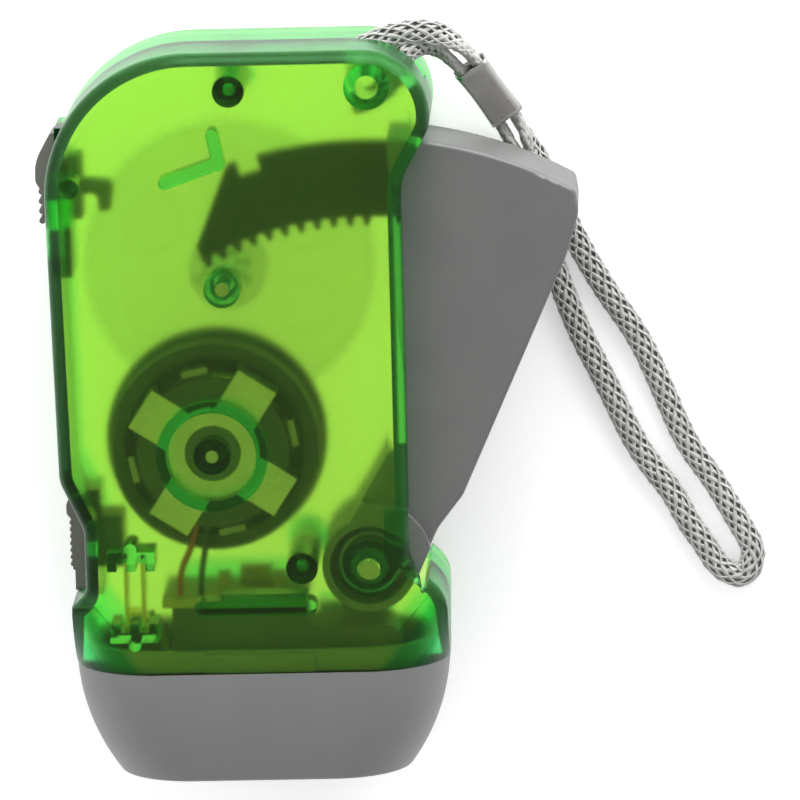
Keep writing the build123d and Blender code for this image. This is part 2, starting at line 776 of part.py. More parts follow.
def coil_path(x, y, low, radius, pitch, quarters):
    """A helix about an upright axis, as one biarc for each quarter turn."""

    def place(turn):
        return Vector(x + radius * cos(turn), y + radius * sin(turn), low + pitch * turn / (2 * pi))

    def way(turn):
        return Vector(-radius * sin(turn), radius * cos(turn), pitch / (2 * pi)).normalized()

    for quarter in range(quarters):
        a = quarter * pi / 2
        b = a + pi / 2
        biarc(place(a), way(a), place(b), way(b))
    return place, way


def coil_spring(x, y, low, radius, pitch, quarters, wire, stub):
    """One unbroken wound wire, with a straight stub at each end."""
    with BuildLine() as path:
        place, way = coil_path(x, y, low, radius, pitch, quarters)
        start_way = Vector(0, 1, 0)
        last = quarters * pi / 2
        Line(place(last), place(last) + way(last) * stub)
    with BuildSketch(Plane(origin=place(0), z_dir=way(0))) as section:
        Circle(wire / 2)
    sweep(sections=section.sketch, path=path.line)
    print("least gap between turns", round(pitch - wire, 2))


lever_spring_wire = 0.7
with BuildPart() as lever_spring:
    coil_spring(
        pivot_x, pivot_y, mid_z + 3.0 + lever_spring_wire / 2 + 0.05, 4.1, 1.7, 12, lever_spring_wire, 2.0
    )
lever_spring.part.label = "lever_spring"
export_step(lever_spring.part, "parts/lever_spring.step")

clutch_spring_wire = 0.5
pinion_top = 2.4
with BuildPart() as clutch_spring:
    coil_low = mid_z + pinion_top + clutch_spring_wire / 2 + 0.05
    coil_spring(gear_x, gear_y, coil_low, 1.85, 1.5, 15, clutch_spring_wire, 0.6)
clutch_spring.part.label = "clutch_spring"
export_step(clutch_spring.part, "parts/clutch_spring.step")


# ------------------------------------------------------------------- gears
def gear_face(x, y, module, teeth, first, addendum, root_share, tip_share):
    """Teeth about a centre, the first one at this angle left of +Y."""
    pitch_radius = module * teeth / 2
    root = pitch_radius - 1.2 * module
    tip = pitch_radius + addendum * module
    step = 360 / teeth
    with Locations((x, y)):
        Circle(root)
    for number in range(teeth):
        corners = []
        sides = (
            (root - 0.05, root_share),
            (pitch_radius, 0.44),
            (tip, tip_share),
            (tip, -tip_share),
            (pitch_radius, -0.44),
            (root - 0.05, -root_share),
        )
        for radius, share in sides:
            turn = radians(first + number * step) + share * pi * module / 2 / radius
            corners.append((x - radius * sin(turn), y + radius * cos(turn)))
        with BuildLine() as outline:
            Polyline(*corners, close=True)
        make_face(outline.edges())


def ratchet_teeth(low, high, first):
    """Ring of small ramps on the face of the clutch."""
    step = 360 / clutch_teeth
    for number in range(clutch_teeth):
        turn = radians(first + number * step)
        out = Vector(cos(turn), sin(turn), 0)
        origin = Vector(gear_x, gear_y, mid_z) + out * 3.2
        with BuildSketch(Plane(origin=origin, x_dir=(-sin(turn), cos(turn), 0), z_dir=out)) as section:
            with BuildLine():
                Polyline((-0.6, low), (0.6, low), (0.6, high), (0.2, high), close=True)
            make_face()
        extrude(section.sketch, amount=clutch_radius - 0.3 - 3.2)


gear_bottom = -half + 0.6
gear_top = gear_bottom + gear_thickness
clutch_face = -7.6
with BuildPart() as drive_pinion:
    with BuildSketch(level(-4.2)):
        gear_face(gear_x, gear_y, tooth_module, pinion_teeth, pinion_angle + 180, 0.75, 0.62, 0.22)
    extrude(amount=pinion_top + 4.2)
    post(gear_x, gear_y, clutch_radius, clutch_face, -4.0)
    ratchet_teeth(clutch_face + 0.1, clutch_face - 0.9, 180 / clutch_teeth)
    post(gear_x, gear_y, gear_axle_radius + running_gap, -mid_z, mid_z, mode=Mode.SUBTRACT)
drive_pinion.part.label = "drive_pinion"
export_step(drive_pinion.part, "parts/drive_pinion.step")

with BuildPart() as drive_gear:
    with BuildSketch(level(gear_bottom)):
        gear_face(gear_x, gear_y, gear_module, gear_teeth, 180 - train_lean, 0.9, 0.66, 0.26)
    extrude(amount=gear_thickness)
    for number in range(6):
        turn = radians(30 + number * 60)
        pocket_x = gear_x + 12.4 * cos(turn)
        pocket_y = gear_y + 12.4 * sin(turn)
        post(pocket_x, pocket_y, 4.2, gear_bottom + 1.2, gear_top, mode=Mode.SUBTRACT)
    post(gear_x, gear_y, clutch_radius, gear_top - 0.2, clutch_face - 1.0)
    ratchet_teeth(clutch_face - 1.1, clutch_face - 0.1, 0)
    post(gear_x, gear_y, gear_axle_radius + running_gap, -mid_z, mid_z, mode=Mode.SUBTRACT)
drive_gear.part.label = "drive_gear"
export_step(drive_gear.part, "parts/drive_gear.step")

with BuildPart() as gear_axle:
    post(gear_x, gear_y, gear_axle_radius, -axle_depth, half - 0.1)
gear_axle.part.label = "gear_axle"
export_step(gear_axle.part, "parts/gear_axle.step")

# ---------------------------------------------------------------- flywheel
wheel_bottom = wheel_top - wheel_thickness
magnet_outer = cup_radius - 0.7
magnet_inner = magnet_outer - magnet_thickness
with BuildPart() as flywheel:
    post(wheel_x, wheel_y, wheel_radius, wheel_bottom, wheel_top)
    chamfer(flywheel.edges().filter_by(GeomType.CIRCLE), 0.45)
    post(wheel_x, wheel_y, cup_radius, wheel_top - 0.2, cup_top)
    post(wheel_x, wheel_y, magnet_outer, wheel_top, cup_top, mode=Mode.SUBTRACT)
    post(wheel_x, wheel_y, 2.2, wheel_top - 0.2, wheel_boss_end - 0.2)
    post(wheel_x, wheel_y, 2.6, gear_top + 0.2, wheel_bottom + 0.2)
    with BuildSketch(level(gear_bottom)):
        first_tooth = -train_lean + 180 / wheel_pinion_teeth
        gear_face(wheel_x, wheel_y, gear_module, wheel_pinion_teeth, first_tooth, 0.8, 0.66, 0.24)
    extrude(amount=gear_top + 0.4 - gear_bottom)
    post(wheel_x, wheel_y, wheel_axle_radius + running_gap, -mid_z, mid_z, mode=Mode.SUBTRACT)
flywheel.part.label = "flywheel"
export_step(flywheel.part, "parts/flywheel.step")

with BuildPart() as ring_magnet:
    post(wheel_x, wheel_y, magnet_outer - 0.02, wheel_top, cup_top - 0.3)
    post(wheel_x, wheel_y, magnet_inner, wheel_top, cup_top, mode=Mode.SUBTRACT)
ring_magnet.part.label = "ring_magnet"
export_step(ring_magnet.part, "parts/ring_magnet.step")

with BuildPart() as flywheel_axle:
    post(wheel_x, wheel_y, wheel_axle_radius, -axle_depth, half - 0.1)
flywheel_axle.part.label = "flywheel_axle"
export_step(flywheel_axle.part, "parts/flywheel_axle.step")

# ------------------------------------------------------------------ stator
claw_lean = 57.0
claw_outer = sqrt((magnet_inner - air_gap) ** 2 - (claw_width / 2) ** 2)
wheel_centre = Vector(wheel_x, wheel_y, 0)


def claw_plate(low, bend_low, bend_high, first, arm_width):
    """A sheet plate with four arms whose ends are bent along the axle."""
    post(wheel_x, wheel_y, stator_ring - 1.2, low, low + claw_sheet)
    for number in range(4):
        turn = first + number * 90
        out = Vector(cos(radians(turn)), sin(radians(turn)), 0)
        arm = wheel_centre + out * (claw_outer / 2)
        with BuildSketch(level(low)) as section:
            with Locations(Location(arm, (0, 0, turn))):
                Rectangle(claw_outer, arm_width)
        extrude(section.sketch, amount=claw_sheet)
        bend = wheel_centre + out * (claw_outer - claw_sheet / 2)
        with BuildSketch(level(bend_low)) as section:
            with Locations(Location(bend, (0, 0, turn))):
                Rectangle(claw_sheet, arm_width)
        extrude(section.sketch, amount=bend_high - bend_low)
    post(wheel_x, wheel_y, core_radius - core_wall, -mid_z, mid_z, mode=Mode.SUBTRACT)


front_plate = stator_top - claw_sheet
with BuildPart() as claw_plate_front:
    claw_plate(front_plate, stator_bottom + claw_sheet + 0.5, stator_top, claw_lean, claw_width)
claw_plate_front.part.label = "claw_plate_front"
export_step(claw_plate_front.part, "parts/claw_plate_front.step")

with BuildPart() as claw_plate_rear:
    claw_plate(stator_bottom, stator_bottom, front_plate - 0.5, claw_lean + 45, 0.6 * claw_width)
claw_plate_rear.part.label = "claw_plate_rear"
export_step(claw_plate_rear.part, "parts/claw_plate_rear.step")

with BuildPart() as stator_core:
    post(wheel_x, wheel_y, core_radius, stator_bottom + claw_sheet, front_plate)
    post(wheel_x, wheel_y, core_radius - core_wall, -mid_z, mid_z, mode=Mode.SUBTRACT)
stator_core.part.label = "stator_core"
export_step(stator_core.part, "parts/stator_core.step")

with BuildPart() as stator_bush:
    post(wheel_x, wheel_y, core_radius - core_wall - 0.02, wheel_boss_end + 0.4, stator_top - 0.6)
    post(wheel_x, wheel_y, axle_boss + 0.02, -mid_z, mid_z, mode=Mode.SUBTRACT)
stator_bush.part.label = "stator_bush"
export_step(stator_bush.part, "parts/stator_bush.step")

bobbin_flange = 0.6
bobbin_radius = claw_outer - claw_sheet - 0.4
with BuildPart() as coil_bobbin:
    post(wheel_x, wheel_y, core_radius + 0.7, stator_bottom + claw_sheet, front_plate)
    for low in (stator_bottom + claw_sheet, front_plate - bobbin_flange):
        post(wheel_x, wheel_y, bobbin_radius, low, low + bobbin_flange)
    post(wheel_x, wheel_y, core_radius + 0.02, -mid_z, mid_z, mode=Mode.SUBTRACT)
coil_bobbin.part.label = "coil_bobbin"
export_step(coil_bobbin.part, "parts/coil_bobbin.step")

with BuildPart() as coil_winding:
    winding_low = stator_bottom + claw_sheet + bobbin_flange
    post(wheel_x, wheel_y, bobbin_radius - 0.6, winding_low, front_plate - bobbin_flange)
    post(wheel_x, wheel_y, core_radius + 0.7, -mid_z, mid_z, mode=Mode.SUBTRACT)
coil_winding.part.label = "coil_winding"
export_step(coil_winding.part, "parts/coil_winding.step")

# ------------------------------------------------------------- lock slider
lock_thumb = [
    (-lock_floor_x - 0.1, lock_end_y, 0),
    (-left_x - 0.1, lock_end_y, 0.4),
    (-left_x - 0.6, 32.0, 1.0),
    (-left_x - 1.4, 33.2, 1.5),
    (-left_x - 1.4, 36.2, 6.0),
    (-left_x + 0.9, lock_top_y, 0.3),
    (-lock_floor_x - 0.1, lock_top_y, 0),
]
flange_x = lock_floor_x - wall - 0.3
with BuildPart() as lock_slider:
    with BuildSketch(level(-lock_width / 2)) as thumb_face:
        fill_corners(thumb_face, lock_thumb)
        for number in range(4):
            with Locations((-lock_ridge_x, lock_end_y + 0.9 + number * 1.4)):
                Circle(0.45)
    extrude(amount=lock_width)
    with BuildSketch(level(-neck_thickness / 2)):
        with Locations((-(lock_floor_x + flange_x) / 2 - 0.1, (neck_top_y + neck_bottom_y) / 2)):
            Rectangle(lock_floor_x - flange_x + 0.8, neck_top_y - neck_bottom_y)
    extrude(amount=neck_thickness)
    with BuildSketch(level(-lock_width / 2)):
        with Locations((-flange_x + 0.6, (neck_top_y + neck_bottom_y) / 2)):
            Rectangle(1.2, 9.0)
    extrude(amount=lock_width)
    with BuildSketch(level(-1.4)) as hook_face:
        fill_corners(
            hook_face,
            [
                (-flange_x + 1.0, 33.4, 0),
                (-flange_x + 1.0, 31.2, 0),
                (-22.0, 31.2, 1.0),
                (-21.8, 28.7, 0.3),
                (-20.2, 28.7, 0.3),
                (-19.6, 33.0, 1.2),
            ],
        )
    extrude(amount=2.8)
lock_slider.part.label = "lock_slider"
export_step(lock_slider.part, "parts/lock_slider.step")

# ------------------------------------------------------------ light switch
bezel_thickness = 1.6
tray_depth = 0.8
tray_edge = 0.6
knob_top_y = bezel_top_y - tray_edge - 0.2
knob_bottom_y = bezel_bottom_y + tray_edge + 0.2 + switch_travel
knob_half = 3.4
with BuildPart() as switch_bezel:
    with BuildSketch(side_plane(-bezel_seat_x)):
        with Locations((-(bezel_top_y + bezel_bottom_y) / 2, 0)):
            RectangleRounded(bezel_top_y - bezel_bottom_y, 2 * bezel_half, 0.8)
    extrude(amount=bezel_thickness)
    with BuildSketch(side_plane(-bezel_seat_x - bezel_thickness)):
        with Locations((-(bezel_top_y + bezel_bottom_y) / 2, 0)):
            Rectangle(bezel_top_y - bezel_bottom_y - 2 * tray_edge, 2 * knob_half + 0.6)
    extrude(amount=-tray_depth, mode=Mode.SUBTRACT)
    with BuildSketch(side_plane(-bezel_seat_x)):
        with Locations((-(stem_top_y + stem_bottom_y - switch_travel) / 2, 0)):
            stem_room = stem_top_y - stem_bottom_y + switch_travel + 2 * slide_gap
            Rectangle(stem_room, 2 * stem_half + 2 * slide_gap)
    extrude(amount=bezel_thickness, mode=Mode.SUBTRACT)
switch_bezel.part.label = "switch_bezel"
export_step(switch_bezel.part, "parts/switch_bezel.step")

knob_floor_x = bezel_seat_x + bezel_thickness - tray_depth + 0.1
switch_face_x = switch_wall_x
with BuildPart() as switch_knob:
    with BuildSketch(level(-knob_half)) as knob_face:
        fill_corners(
            knob_face,
            [
                (-knob_floor_x, knob_top_y, 0),
                (-knob_floor_x, knob_bottom_y, 0),
                (-27.0, knob_bottom_y, 0.3),
                (-27.0, -15.6, 0.6),
                (-27.7, -14.8, 0.8),
                (-27.7, -13.3, 1.0),
                (-26.7, knob_top_y, 0.4),
            ],
        )
        for number in range(7):
            with Locations((-27.0, knob_bottom_y + 0.9 + number * 1.0)):
                Circle(0.32)
    extrude(amount=2 * knob_half)
    with BuildSketch(level(-stem_half)):
        with Locations((-(knob_floor_x + switch_face_x - 1.6) / 2, (stem_top_y + stem_bottom_y) / 2)):
            Rectangle(knob_floor_x - switch_face_x + 1.6 + 0.2, stem_top_y - stem_bottom_y)
    extrude(amount=2 * stem_half)
switch_knob.part.label = "switch_knob"
export_step(switch_knob.part, "parts/switch_knob.step")

with BuildPart() as switch_body:
    with BuildSketch(level(-4.0)):
        with Locations((-switch_face_x + 1.5, -18.7)):
            Rectangle(3.0, 7.4)
    extrude(amount=8.0)
    with BuildSketch(level(-stem_half - slide_gap)):
        with Locations((-switch_face_x + 1.0, (stem_top_y + stem_bottom_y - switch_travel) / 2)):
            Rectangle(2.2, stem_top_y - stem_bottom_y + switch_travel + 2 * slide_gap)
    extrude(amount=2 * stem_half + 2 * slide_gap, mode=Mode.SUBTRACT)
switch_body.part.label = "switch_body"
export_step(switch_body.part, "parts/switch_body.step")

leaf_x = -17.9
leaf_width = 2.9
leaf_sheet = 0.5
with BuildPart() as contact_leaf:
    with BuildSketch(level(4.6)):
        for side in (-1, 1):
            with Locations((leaf_x + side * (leaf_width - leaf_sheet) / 2, -25.2)):
                Rectangle(leaf_sheet, 10.1)
        with Locations((leaf_x, -28.4)):
            Rectangle(leaf_width, leaf_sheet)
    extrude(amount=4.2)
contact_leaf.part.label = "contact_leaf"
export_step(contact_leaf.part, "parts/contact_leaf.step")

# ------------------------------------------------------------------ screws
with BuildPart() as case_screws:
    for x, y in screw_places:
        post(x, y, screw_head_radius, -half - 1.4, -half)
        post(x, y, screw_radius - 0.02, -half - 0.1, half - 4)
case_screws.part.label = "case_screws"
export_step(case_screws.part, "parts/case_screws.step")


# ------------------------------------------------------------ cords, wires
def corner_radii(points):
    """Arc radius at each inner point: 0.45 of the shorter run over tan(half turn)."""
    radii = []
    for before, here, after in zip(points, points[1:], points[2:]):
        run_in = Vector(*here) - Vector(*before)
        run_out = Vector(*after) - Vector(*here)
        turn = radians(run_in.get_angle(run_out))
        radii.append(0.45 * min(run_in.length, run_out.length) / tan(turn / 2))
    return radii


def cord_tube(points, diameter):
    """A round tube along straight runs joined by tangent arcs."""
    radii = corner_radii(points)
    print("arc radii", [round(radius, 1) for radius in radii])
    with BuildLine() as path:
        FilletPolyline(*points, radius=radii)
    start = Vector(*points[0])
    with BuildSketch(Plane(origin=start, z_dir=Vector(*points[1]) - start)) as section:
        Circle(diameter / 2)
    sweep(sections=section.sketch, path=path.line)


strap_z = strap_diameter / 2 + 0.05
strap_points = [
    (14.6, 50.3, 15.0),
    (19.4, 52.6, 15.0),
    (24.4, 53.4, 14.2),
    (29.0, 51.7, 11.6),
    (32.0, 48.2, 8.0),
    (37.5, 39.8, 4.0),
    (41.0, 31.6, strap_z + 0.3),
    (45.4, 21.5, strap_z),
    (49.8, 13.4, strap_z),
    (54.7, 6.4, strap_z),
    (58.2, -2.1, strap_z),
    (61.2, -9.5, strap_z),
    (65.2, -15.0, strap_z),
    (68.4, -20.9, strap_z),
    (71.0, -25.4, strap_z),
    (69.4, -29.6, strap_z),
    (65.6, -28.0, strap_z),
    (63.6, -24.4, strap_z),
    (61.3, -21.2, strap_z),
    (59.1, -16.6, strap_z),
    (56.2, -12.9, strap_z),
    (53.4, -8.5, strap_z),
    (50.0, -0.7, strap_z),
    (46.0, 7.2, strap_z),
    (43.5, 14.4, strap_z),
    (41.0, 21.7, strap_z),
    (38.3, 31.2, strap_z + 0.3),
    (35.4, 38.5, 4.0),
    (29.9, 46.8, 8.0),
    (27.6, 49.3, 10.4),
    (24.8, 51.3, 13.0),
    (21.6, 50.2, 15.0),
    (20.4, 46.6, 15.0),
    (17.6, 43.9, 15.0),
    (14.6, 43.3, 15.0),
]
with BuildPart() as strap_cord:
    cord_tube(strap_points, strap_diameter)
strap_cord.part.label = "strap_cord"
export_step(strap_cord.part, "parts/strap_cord.step")
strap_length = sum((Vector(*b) - Vector(*a)).length for a, b in zip(strap_points, strap_points[1:]))
print("strap runs", round(strap_length, 1), "volume", round(strap_cord.part.volume, 1))
print("section times runs", round(pi * strap_diameter**2 / 4 * strap_length, 1))

# Metal crimp round both strands
crimp_start = Vector(31.2, 47.2, 7.8)
crimp_end = Vector(36.2, 39.5, 4.3)
crimp_way = (crimp_end - crimp_start).normalized()
with BuildPart() as strap_crimp:
    crimp_side = Vector(0, 0, 1).cross(crimp_way).normalized()
    with BuildSketch(Plane(origin=crimp_start, x_dir=crimp_side, z_dir=crimp_way)):
        RectangleRounded(2 * strap_diameter + 1.6, strap_diameter + 1.2, 1.2)
        RectangleRounded(2 * strap_diameter + 0.9, strap_diameter + 0.5, 1.0, mode=Mode.SUBTRACT)
    extrude(amount=(crimp_end - crimp_start).length)
strap_crimp.part.label = "strap_crimp"
export_step(strap_crimp.part, "parts/strap_crimp.step")

lead_diameter = 0.9
lead_z = 21.5


def winding_exit(angle):
    """Where a lead leaves the winding, at this angle about the flywheel's axle."""
    reach = bobbin_radius - 0.5
    turn = radians(angle)
    return wheel_x + reach * cos(turn), wheel_y + reach * sin(turn), lead_z


lead_routes = {
    "lead_yellow": [(-15.9, -28.7, 20.2), (-14.7, -31.2, 20.0), (-13.7, -34.4, 19.2), (-13.2, -37.7, 18.0)],
    "lead_red": [winding_exit(256), (-9.6, -19.0, lead_z), (-11.4, -22.6, 21.4), (-11.6, -26.3, 21.0)],
    "lead_black": [winding_exit(263), (-7.7, -19.2, lead_z), (-8.4, -22.8, 21.2), (-8.6, -26.3, 20.6)],
}
for lead_name, lead_points in lead_routes.items():
    with BuildPart() as lead:
        cord_tube(lead_points, lead_diameter)
    lead.part.label = lead_name
    export_step(lead.part, f"parts/{lead_name}.step")

print("gear axle", round(gear_x, 3), round(gear_y, 3))
print("flywheel axle", round(wheel_x, 3), round(wheel_y, 3))
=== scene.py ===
# %% [markdown]
# A hand-press torch with a see-through green case, dressed in Blender.
# The exact solids come from the CAD model and are loaded as a fixed frame. This lesson gives them
# their finishes, and builds the pieces that CAD leaves plain: the braided strap, its bright crimp,
# the cross-cut screws and the lamps' dies.

import math

import bmesh
import bpy
from mathutils import Matrix, Vector


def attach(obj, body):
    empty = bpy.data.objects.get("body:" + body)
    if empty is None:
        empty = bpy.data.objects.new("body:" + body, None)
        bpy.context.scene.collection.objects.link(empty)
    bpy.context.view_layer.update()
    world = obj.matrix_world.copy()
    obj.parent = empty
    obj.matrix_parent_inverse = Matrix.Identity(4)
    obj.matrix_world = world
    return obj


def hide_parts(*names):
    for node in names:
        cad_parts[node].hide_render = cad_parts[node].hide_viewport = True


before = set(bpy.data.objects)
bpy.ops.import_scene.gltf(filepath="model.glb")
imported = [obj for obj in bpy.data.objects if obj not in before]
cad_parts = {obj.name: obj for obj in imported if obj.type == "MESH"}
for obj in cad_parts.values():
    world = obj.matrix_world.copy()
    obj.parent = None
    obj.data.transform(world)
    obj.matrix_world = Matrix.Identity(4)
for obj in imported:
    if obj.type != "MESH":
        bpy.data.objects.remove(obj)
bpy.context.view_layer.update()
mm = 0.001
print("CAD nodes:", len(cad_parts))

# %% [markdown]
# The camera stands over the torch, a little towards its strap end and its lever side, and looks
# down through a long lens. So the front face is nearly square to the view, and a strip of the top
# and right walls shows, as in a product photograph. A lens is as long as the sensor's width times
# the distance, over the width that the picture takes in.

# %% Camera
aim = Vector((20.3, 0.2, 15.0)) * mm
camera_distance = 1.15
view_width = 0.1143
sensor_width = 36.0
lean_up = math.radians(10.2)
lean_right = math.radians(1.7)
roll = math.radians(1.4)


def new_object(name, data):
    """An object that shows this mesh, camera or lamp, linked into the scene."""
    made = bpy.data.objects.new(name, data)
    bpy.context.scene.collection.objects.link(made)
    return made


back = Vector((math.sin(lean_right), math.sin(lean_up), math.cos(lean_up))).normalized()
right = Vector((math.sin(roll), math.cos(roll), 0)).cross(back).normalized()
up = back.cross(right)
camera_data = bpy.data.cameras.new("camera")
camera_data.sensor_width = sensor_width
camera_data.lens = sensor_width * camera_distance / view_width
camera = new_object("camera", camera_data)
camera.matrix_world = Matrix.Translation(aim + back * camera_distance) @ Matrix(
    (right, up, back)
).transposed().to_4x4()
bpy.context.scene.camera = camera
print("camera lens", round(camera_data.lens), "mm")

# %% [markdown]
# The strap is a limp flat braid. It leaves the case at the top corner, passes the crimp, lies on
# the table in a long narrow loop, and comes back the same way. A short list of control points
# gives its route, the same that the plain tube has in CAD. A NURBS spline through that list bends
# evenly, as a soft braid does, where a chain of straight runs and arcs would look like wire.

# %% Route of the strap
lying = 1.15
strap_route = [
    (14.6, 50.3, 15.0), (19.4, 52.6, 15.0), (24.4, 53.4, 14.2), (29.0, 51.7, 11.6),
    (32.0, 48.2, 8.0), (37.5, 39.8, 4.0), (41.0, 31.6, lying + 0.3), (45.4, 21.5, lying),
    (49.8, 13.4, lying), (54.7, 6.4, lying), (58.2, -2.1, lying), (61.2, -9.5, lying),
    (65.2, -15.0, lying), (68.4, -20.9, lying), (71.0, -25.4, lying), (69.4, -29.6, lying),
    (65.6, -28.0, lying), (63.6, -24.4, lying), (61.3, -21.2, lying), (59.1, -16.6, lying),
    (56.2, -12.9, lying), (53.4, -8.5, lying), (50.0, -0.7, lying), (46.0, 7.2, lying),
    (43.5, 14.4, lying), (41.0, 21.7, lying), (38.3, 31.2, lying + 0.3), (35.4, 38.5, 4.0),
    (29.9, 46.8, 8.0), (27.6, 49.3, 10.4), (24.8, 51.3, 13.0), (21.6, 50.2, 15.0),
    (20.4, 46.6, 15.0), (17.6, 43.9, 15.0), (14.6, 43.3, 15.0),
]
spline_resolution = 16
strap_step = 0.35 * mm


def smooth_line(points, name):
    """Points along the NURBS spline that has these control points, in metres."""
    curve = bpy.data.curves.new(name, "CURVE")
    curve.dimensions = "3D"
    spline = curve.splines.new("NURBS")
    spline.points.add(len(points) - 1)
    for knot, (x, y, z) in zip(spline.points, points):
        knot.co = (x * mm, y * mm, z * mm, 1)
    spline.order_u = 3
    spline.use_endpoint_u = True
    spline.resolution_u = spline_resolution
    holder = bpy.data.objects.new(name, curve)
    mesh = bpy.data.meshes.new_from_object(holder)
    line = [vertex.co.copy() for vertex in mesh.vertices]
    bpy.data.objects.remove(holder)
    bpy.data.curves.remove(curve)
    bpy.data.meshes.remove(mesh)
    return line


def even_steps(line, step):
    """The same line with its points an even distance apart."""
    out = [line[0].copy()]
    left = step
    for a, b in zip(line, line[1:]):
        run = (b - a).length
        at = left
        while at <= run:
            out.append(a.lerp(b, at / run))
            at += step
        left = at - run
    out.append(line[-1].copy())
    return out


def line_length(line):
    """The sum of the line's short runs."""
    return sum((b - a).length for a, b in zip(line, line[1:]))


strap_line = even_steps(smooth_line(strap_route, "strap_route"), strap_step)
strap_length = line_length(strap_line)
print("strap length", round(strap_length, 4), "m")

# %% [markdown]
# The strap is flat on the table, and it stands on edge and is squeezed narrow where the crimp
# grips it. So its section is an ellipse whose wide axis turns, and whose width shrinks, with the
# distance from the crimp's middle. A smooth step between two distances keeps both changes soft.

# %% Section of the strap
strap_half_width = 1.6 * mm
strap_half_depth = 0.66 * mm
crimp_middle = Vector((33.7, 43.4, 6.05)) * mm
on_edge_near = 7 * mm
flat_beyond = 17 * mm
squeezed_near = 5.2 * mm
full_beyond = 10 * mm
squeezed_share = 0.55


def ease(value, low, high):
    """0 below low, 1 above high, and smooth between."""
    share = min(max((value - low) / (high - low), 0.0), 1.0)
    return share * share * (3 - 2 * share)


def strap_axes(line, index):
    """The wide axis and thin axis of the strap at a point, and the share of its full width."""
    before = line[max(index - 2, 0)]
    after = line[min(index + 2, len(line) - 1)]
    along = (after - before).normalized()
    flat = along.cross(Vector((0, 0, 1))).normalized()
    edge = flat.cross(along).normalized()
    from_crimp = (line[index] - crimp_middle).length
    turn = (1 - ease(from_crimp, on_edge_near, flat_beyond)) * math.pi / 2
    wide = flat * math.cos(turn) + edge * math.sin(turn)
    opened = ease(from_crimp, squeezed_near, full_beyond)
    share = squeezed_share + (1 - squeezed_share) * opened
    return wide, wide.cross(along).normalized(), share


def strap_point(line, index, angle, lift):
    """A point round the strap's flat section, at this angle and height over the section."""
    wide, thin, share = strap_axes(line, index)
    a = strap_half_width * share + lift
    b = strap_half_depth + lift
    return line[index] + wide * (a * math.cos(angle)) + thin * (b * math.sin(angle))


section = [round(2 * half / mm, 2) for half in (strap_half_width, strap_half_depth)]
print("strap section, without the strands' own thickness:", section, "mm")

# %% [markdown]
# Most of the new pieces are built alike: rings of vertices one after the other, and faces that
# join each ring to the next. Two helpers do that for the strap, the crimp and the lamps' dies.

# %% Rings, faces and pieces


def tube_faces(rings, sides, closed_ends=True):
    """Faces between rings of vertices that follow each other, and a face at each end."""
    faces = []
    for ring in range(rings - 1):
        for side in range(sides):
            a = ring * sides + side
            b = ring * sides + (side + 1) % sides
            faces.append((a, b, b + sides, a + sides))
    if closed_ends:
        faces.append(tuple(reversed(range(sides))))
        faces.append(tuple(range((rings - 1) * sides, rings * sides)))
    return faces


def new_piece(name, vertices, faces):
    """A smooth-shaded mesh piece from lists of vertices and faces."""
    mesh = bpy.data.meshes.new(name)
    mesh.from_pydata([tuple(v) for v in vertices], [], faces)
    mesh.validate()
    mesh.update()
    mesh.shade_smooth()
    return new_object(name, mesh)


print("mesh helpers: tube_faces, new_piece")

# %% [markdown]
# A braid is strands that wind both ways round a flat core and pass over and under each other. A
# bump map would do from far away, but up close the edge of the strap would be straight. So each
# strand is a thin tube of its own. Its angle round the section grows with the distance along the
# strap, and it rises and dips as it crosses its neighbours.

# %% Braided strap
core_sides = 12
core_inset = 0.25 * mm
strand_count = 16
strand_half_width = 0.33 * mm
strand_half_height = 0.15 * mm
strand_sides = 6
strand_rise = 0.1 * mm
braid_pitch = 17.0 * mm


def sweep_flat(points, middles):
    """Vertices of a flat strand along points. Its low side is turned to the strap's middle line."""
    vertices = []
    for index, point in enumerate(points):
        before = points[max(index - 1, 0)]
        after = points[min(index + 1, len(points) - 1)]
        along = (after - before).normalized()
        outwards = point - middles[index]
        outwards = (outwards - along * outwards.dot(along)).normalized()
        sideways = along.cross(outwards)
        for side in range(strand_sides):
            turn = 2 * math.pi * side / strand_sides
            across = sideways * (math.cos(turn) * strand_half_width)
            vertices.append(point + across + outwards * (math.sin(turn) * strand_half_height))
    return vertices


def build_strap(line):
    """The whole braid as one mesh, and how many of its first faces are the flat core's."""
    vertices = []
    for index in range(len(line)):
        for side in range(core_sides):
            angle = 2 * math.pi * side / core_sides
            vertices.append(strap_point(line, index, angle, -core_inset))
    faces = tube_faces(len(line), core_sides)
    core_faces = len(faces)
    step = strap_length / (len(line) - 1)
    for strand in range(strand_count):
        way = 1 if strand % 2 else -1
        start_angle = 2 * math.pi * (strand // 2) / (strand_count / 2)
        points = []
        for index in range(len(line)):
            travel = 2 * math.pi * index * step / braid_pitch
            crossing = math.cos(strand_count / 2 * travel)
            crossing *= math.cos(strand_count / 4 * start_angle)
            lift = way * crossing * strand_rise
            points.append(strap_point(line, index, start_angle + way * travel, lift))
        first = len(vertices)
        vertices.extend(sweep_flat(points, line))
        for face in tube_faces(len(points), strand_sides):
            faces.append(tuple(first + corner for corner in face))
    return new_piece("wrist_strap", vertices, faces), core_faces


strap, strap_core_faces = build_strap(strap_line)
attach(strap, "case")
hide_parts("strap_cord")
print("strap faces", len(strap.data.polygons))

# %% [markdown]
# Both runs of the strap are held in a crimp: one strip of bright plated sheet, folded round them
# until only a seam is left between its two lips. A solid block would look cast, so it is built as
# a bent sheet with real thickness: its outline is drawn once outside and once inside, and swept
# along the strap.

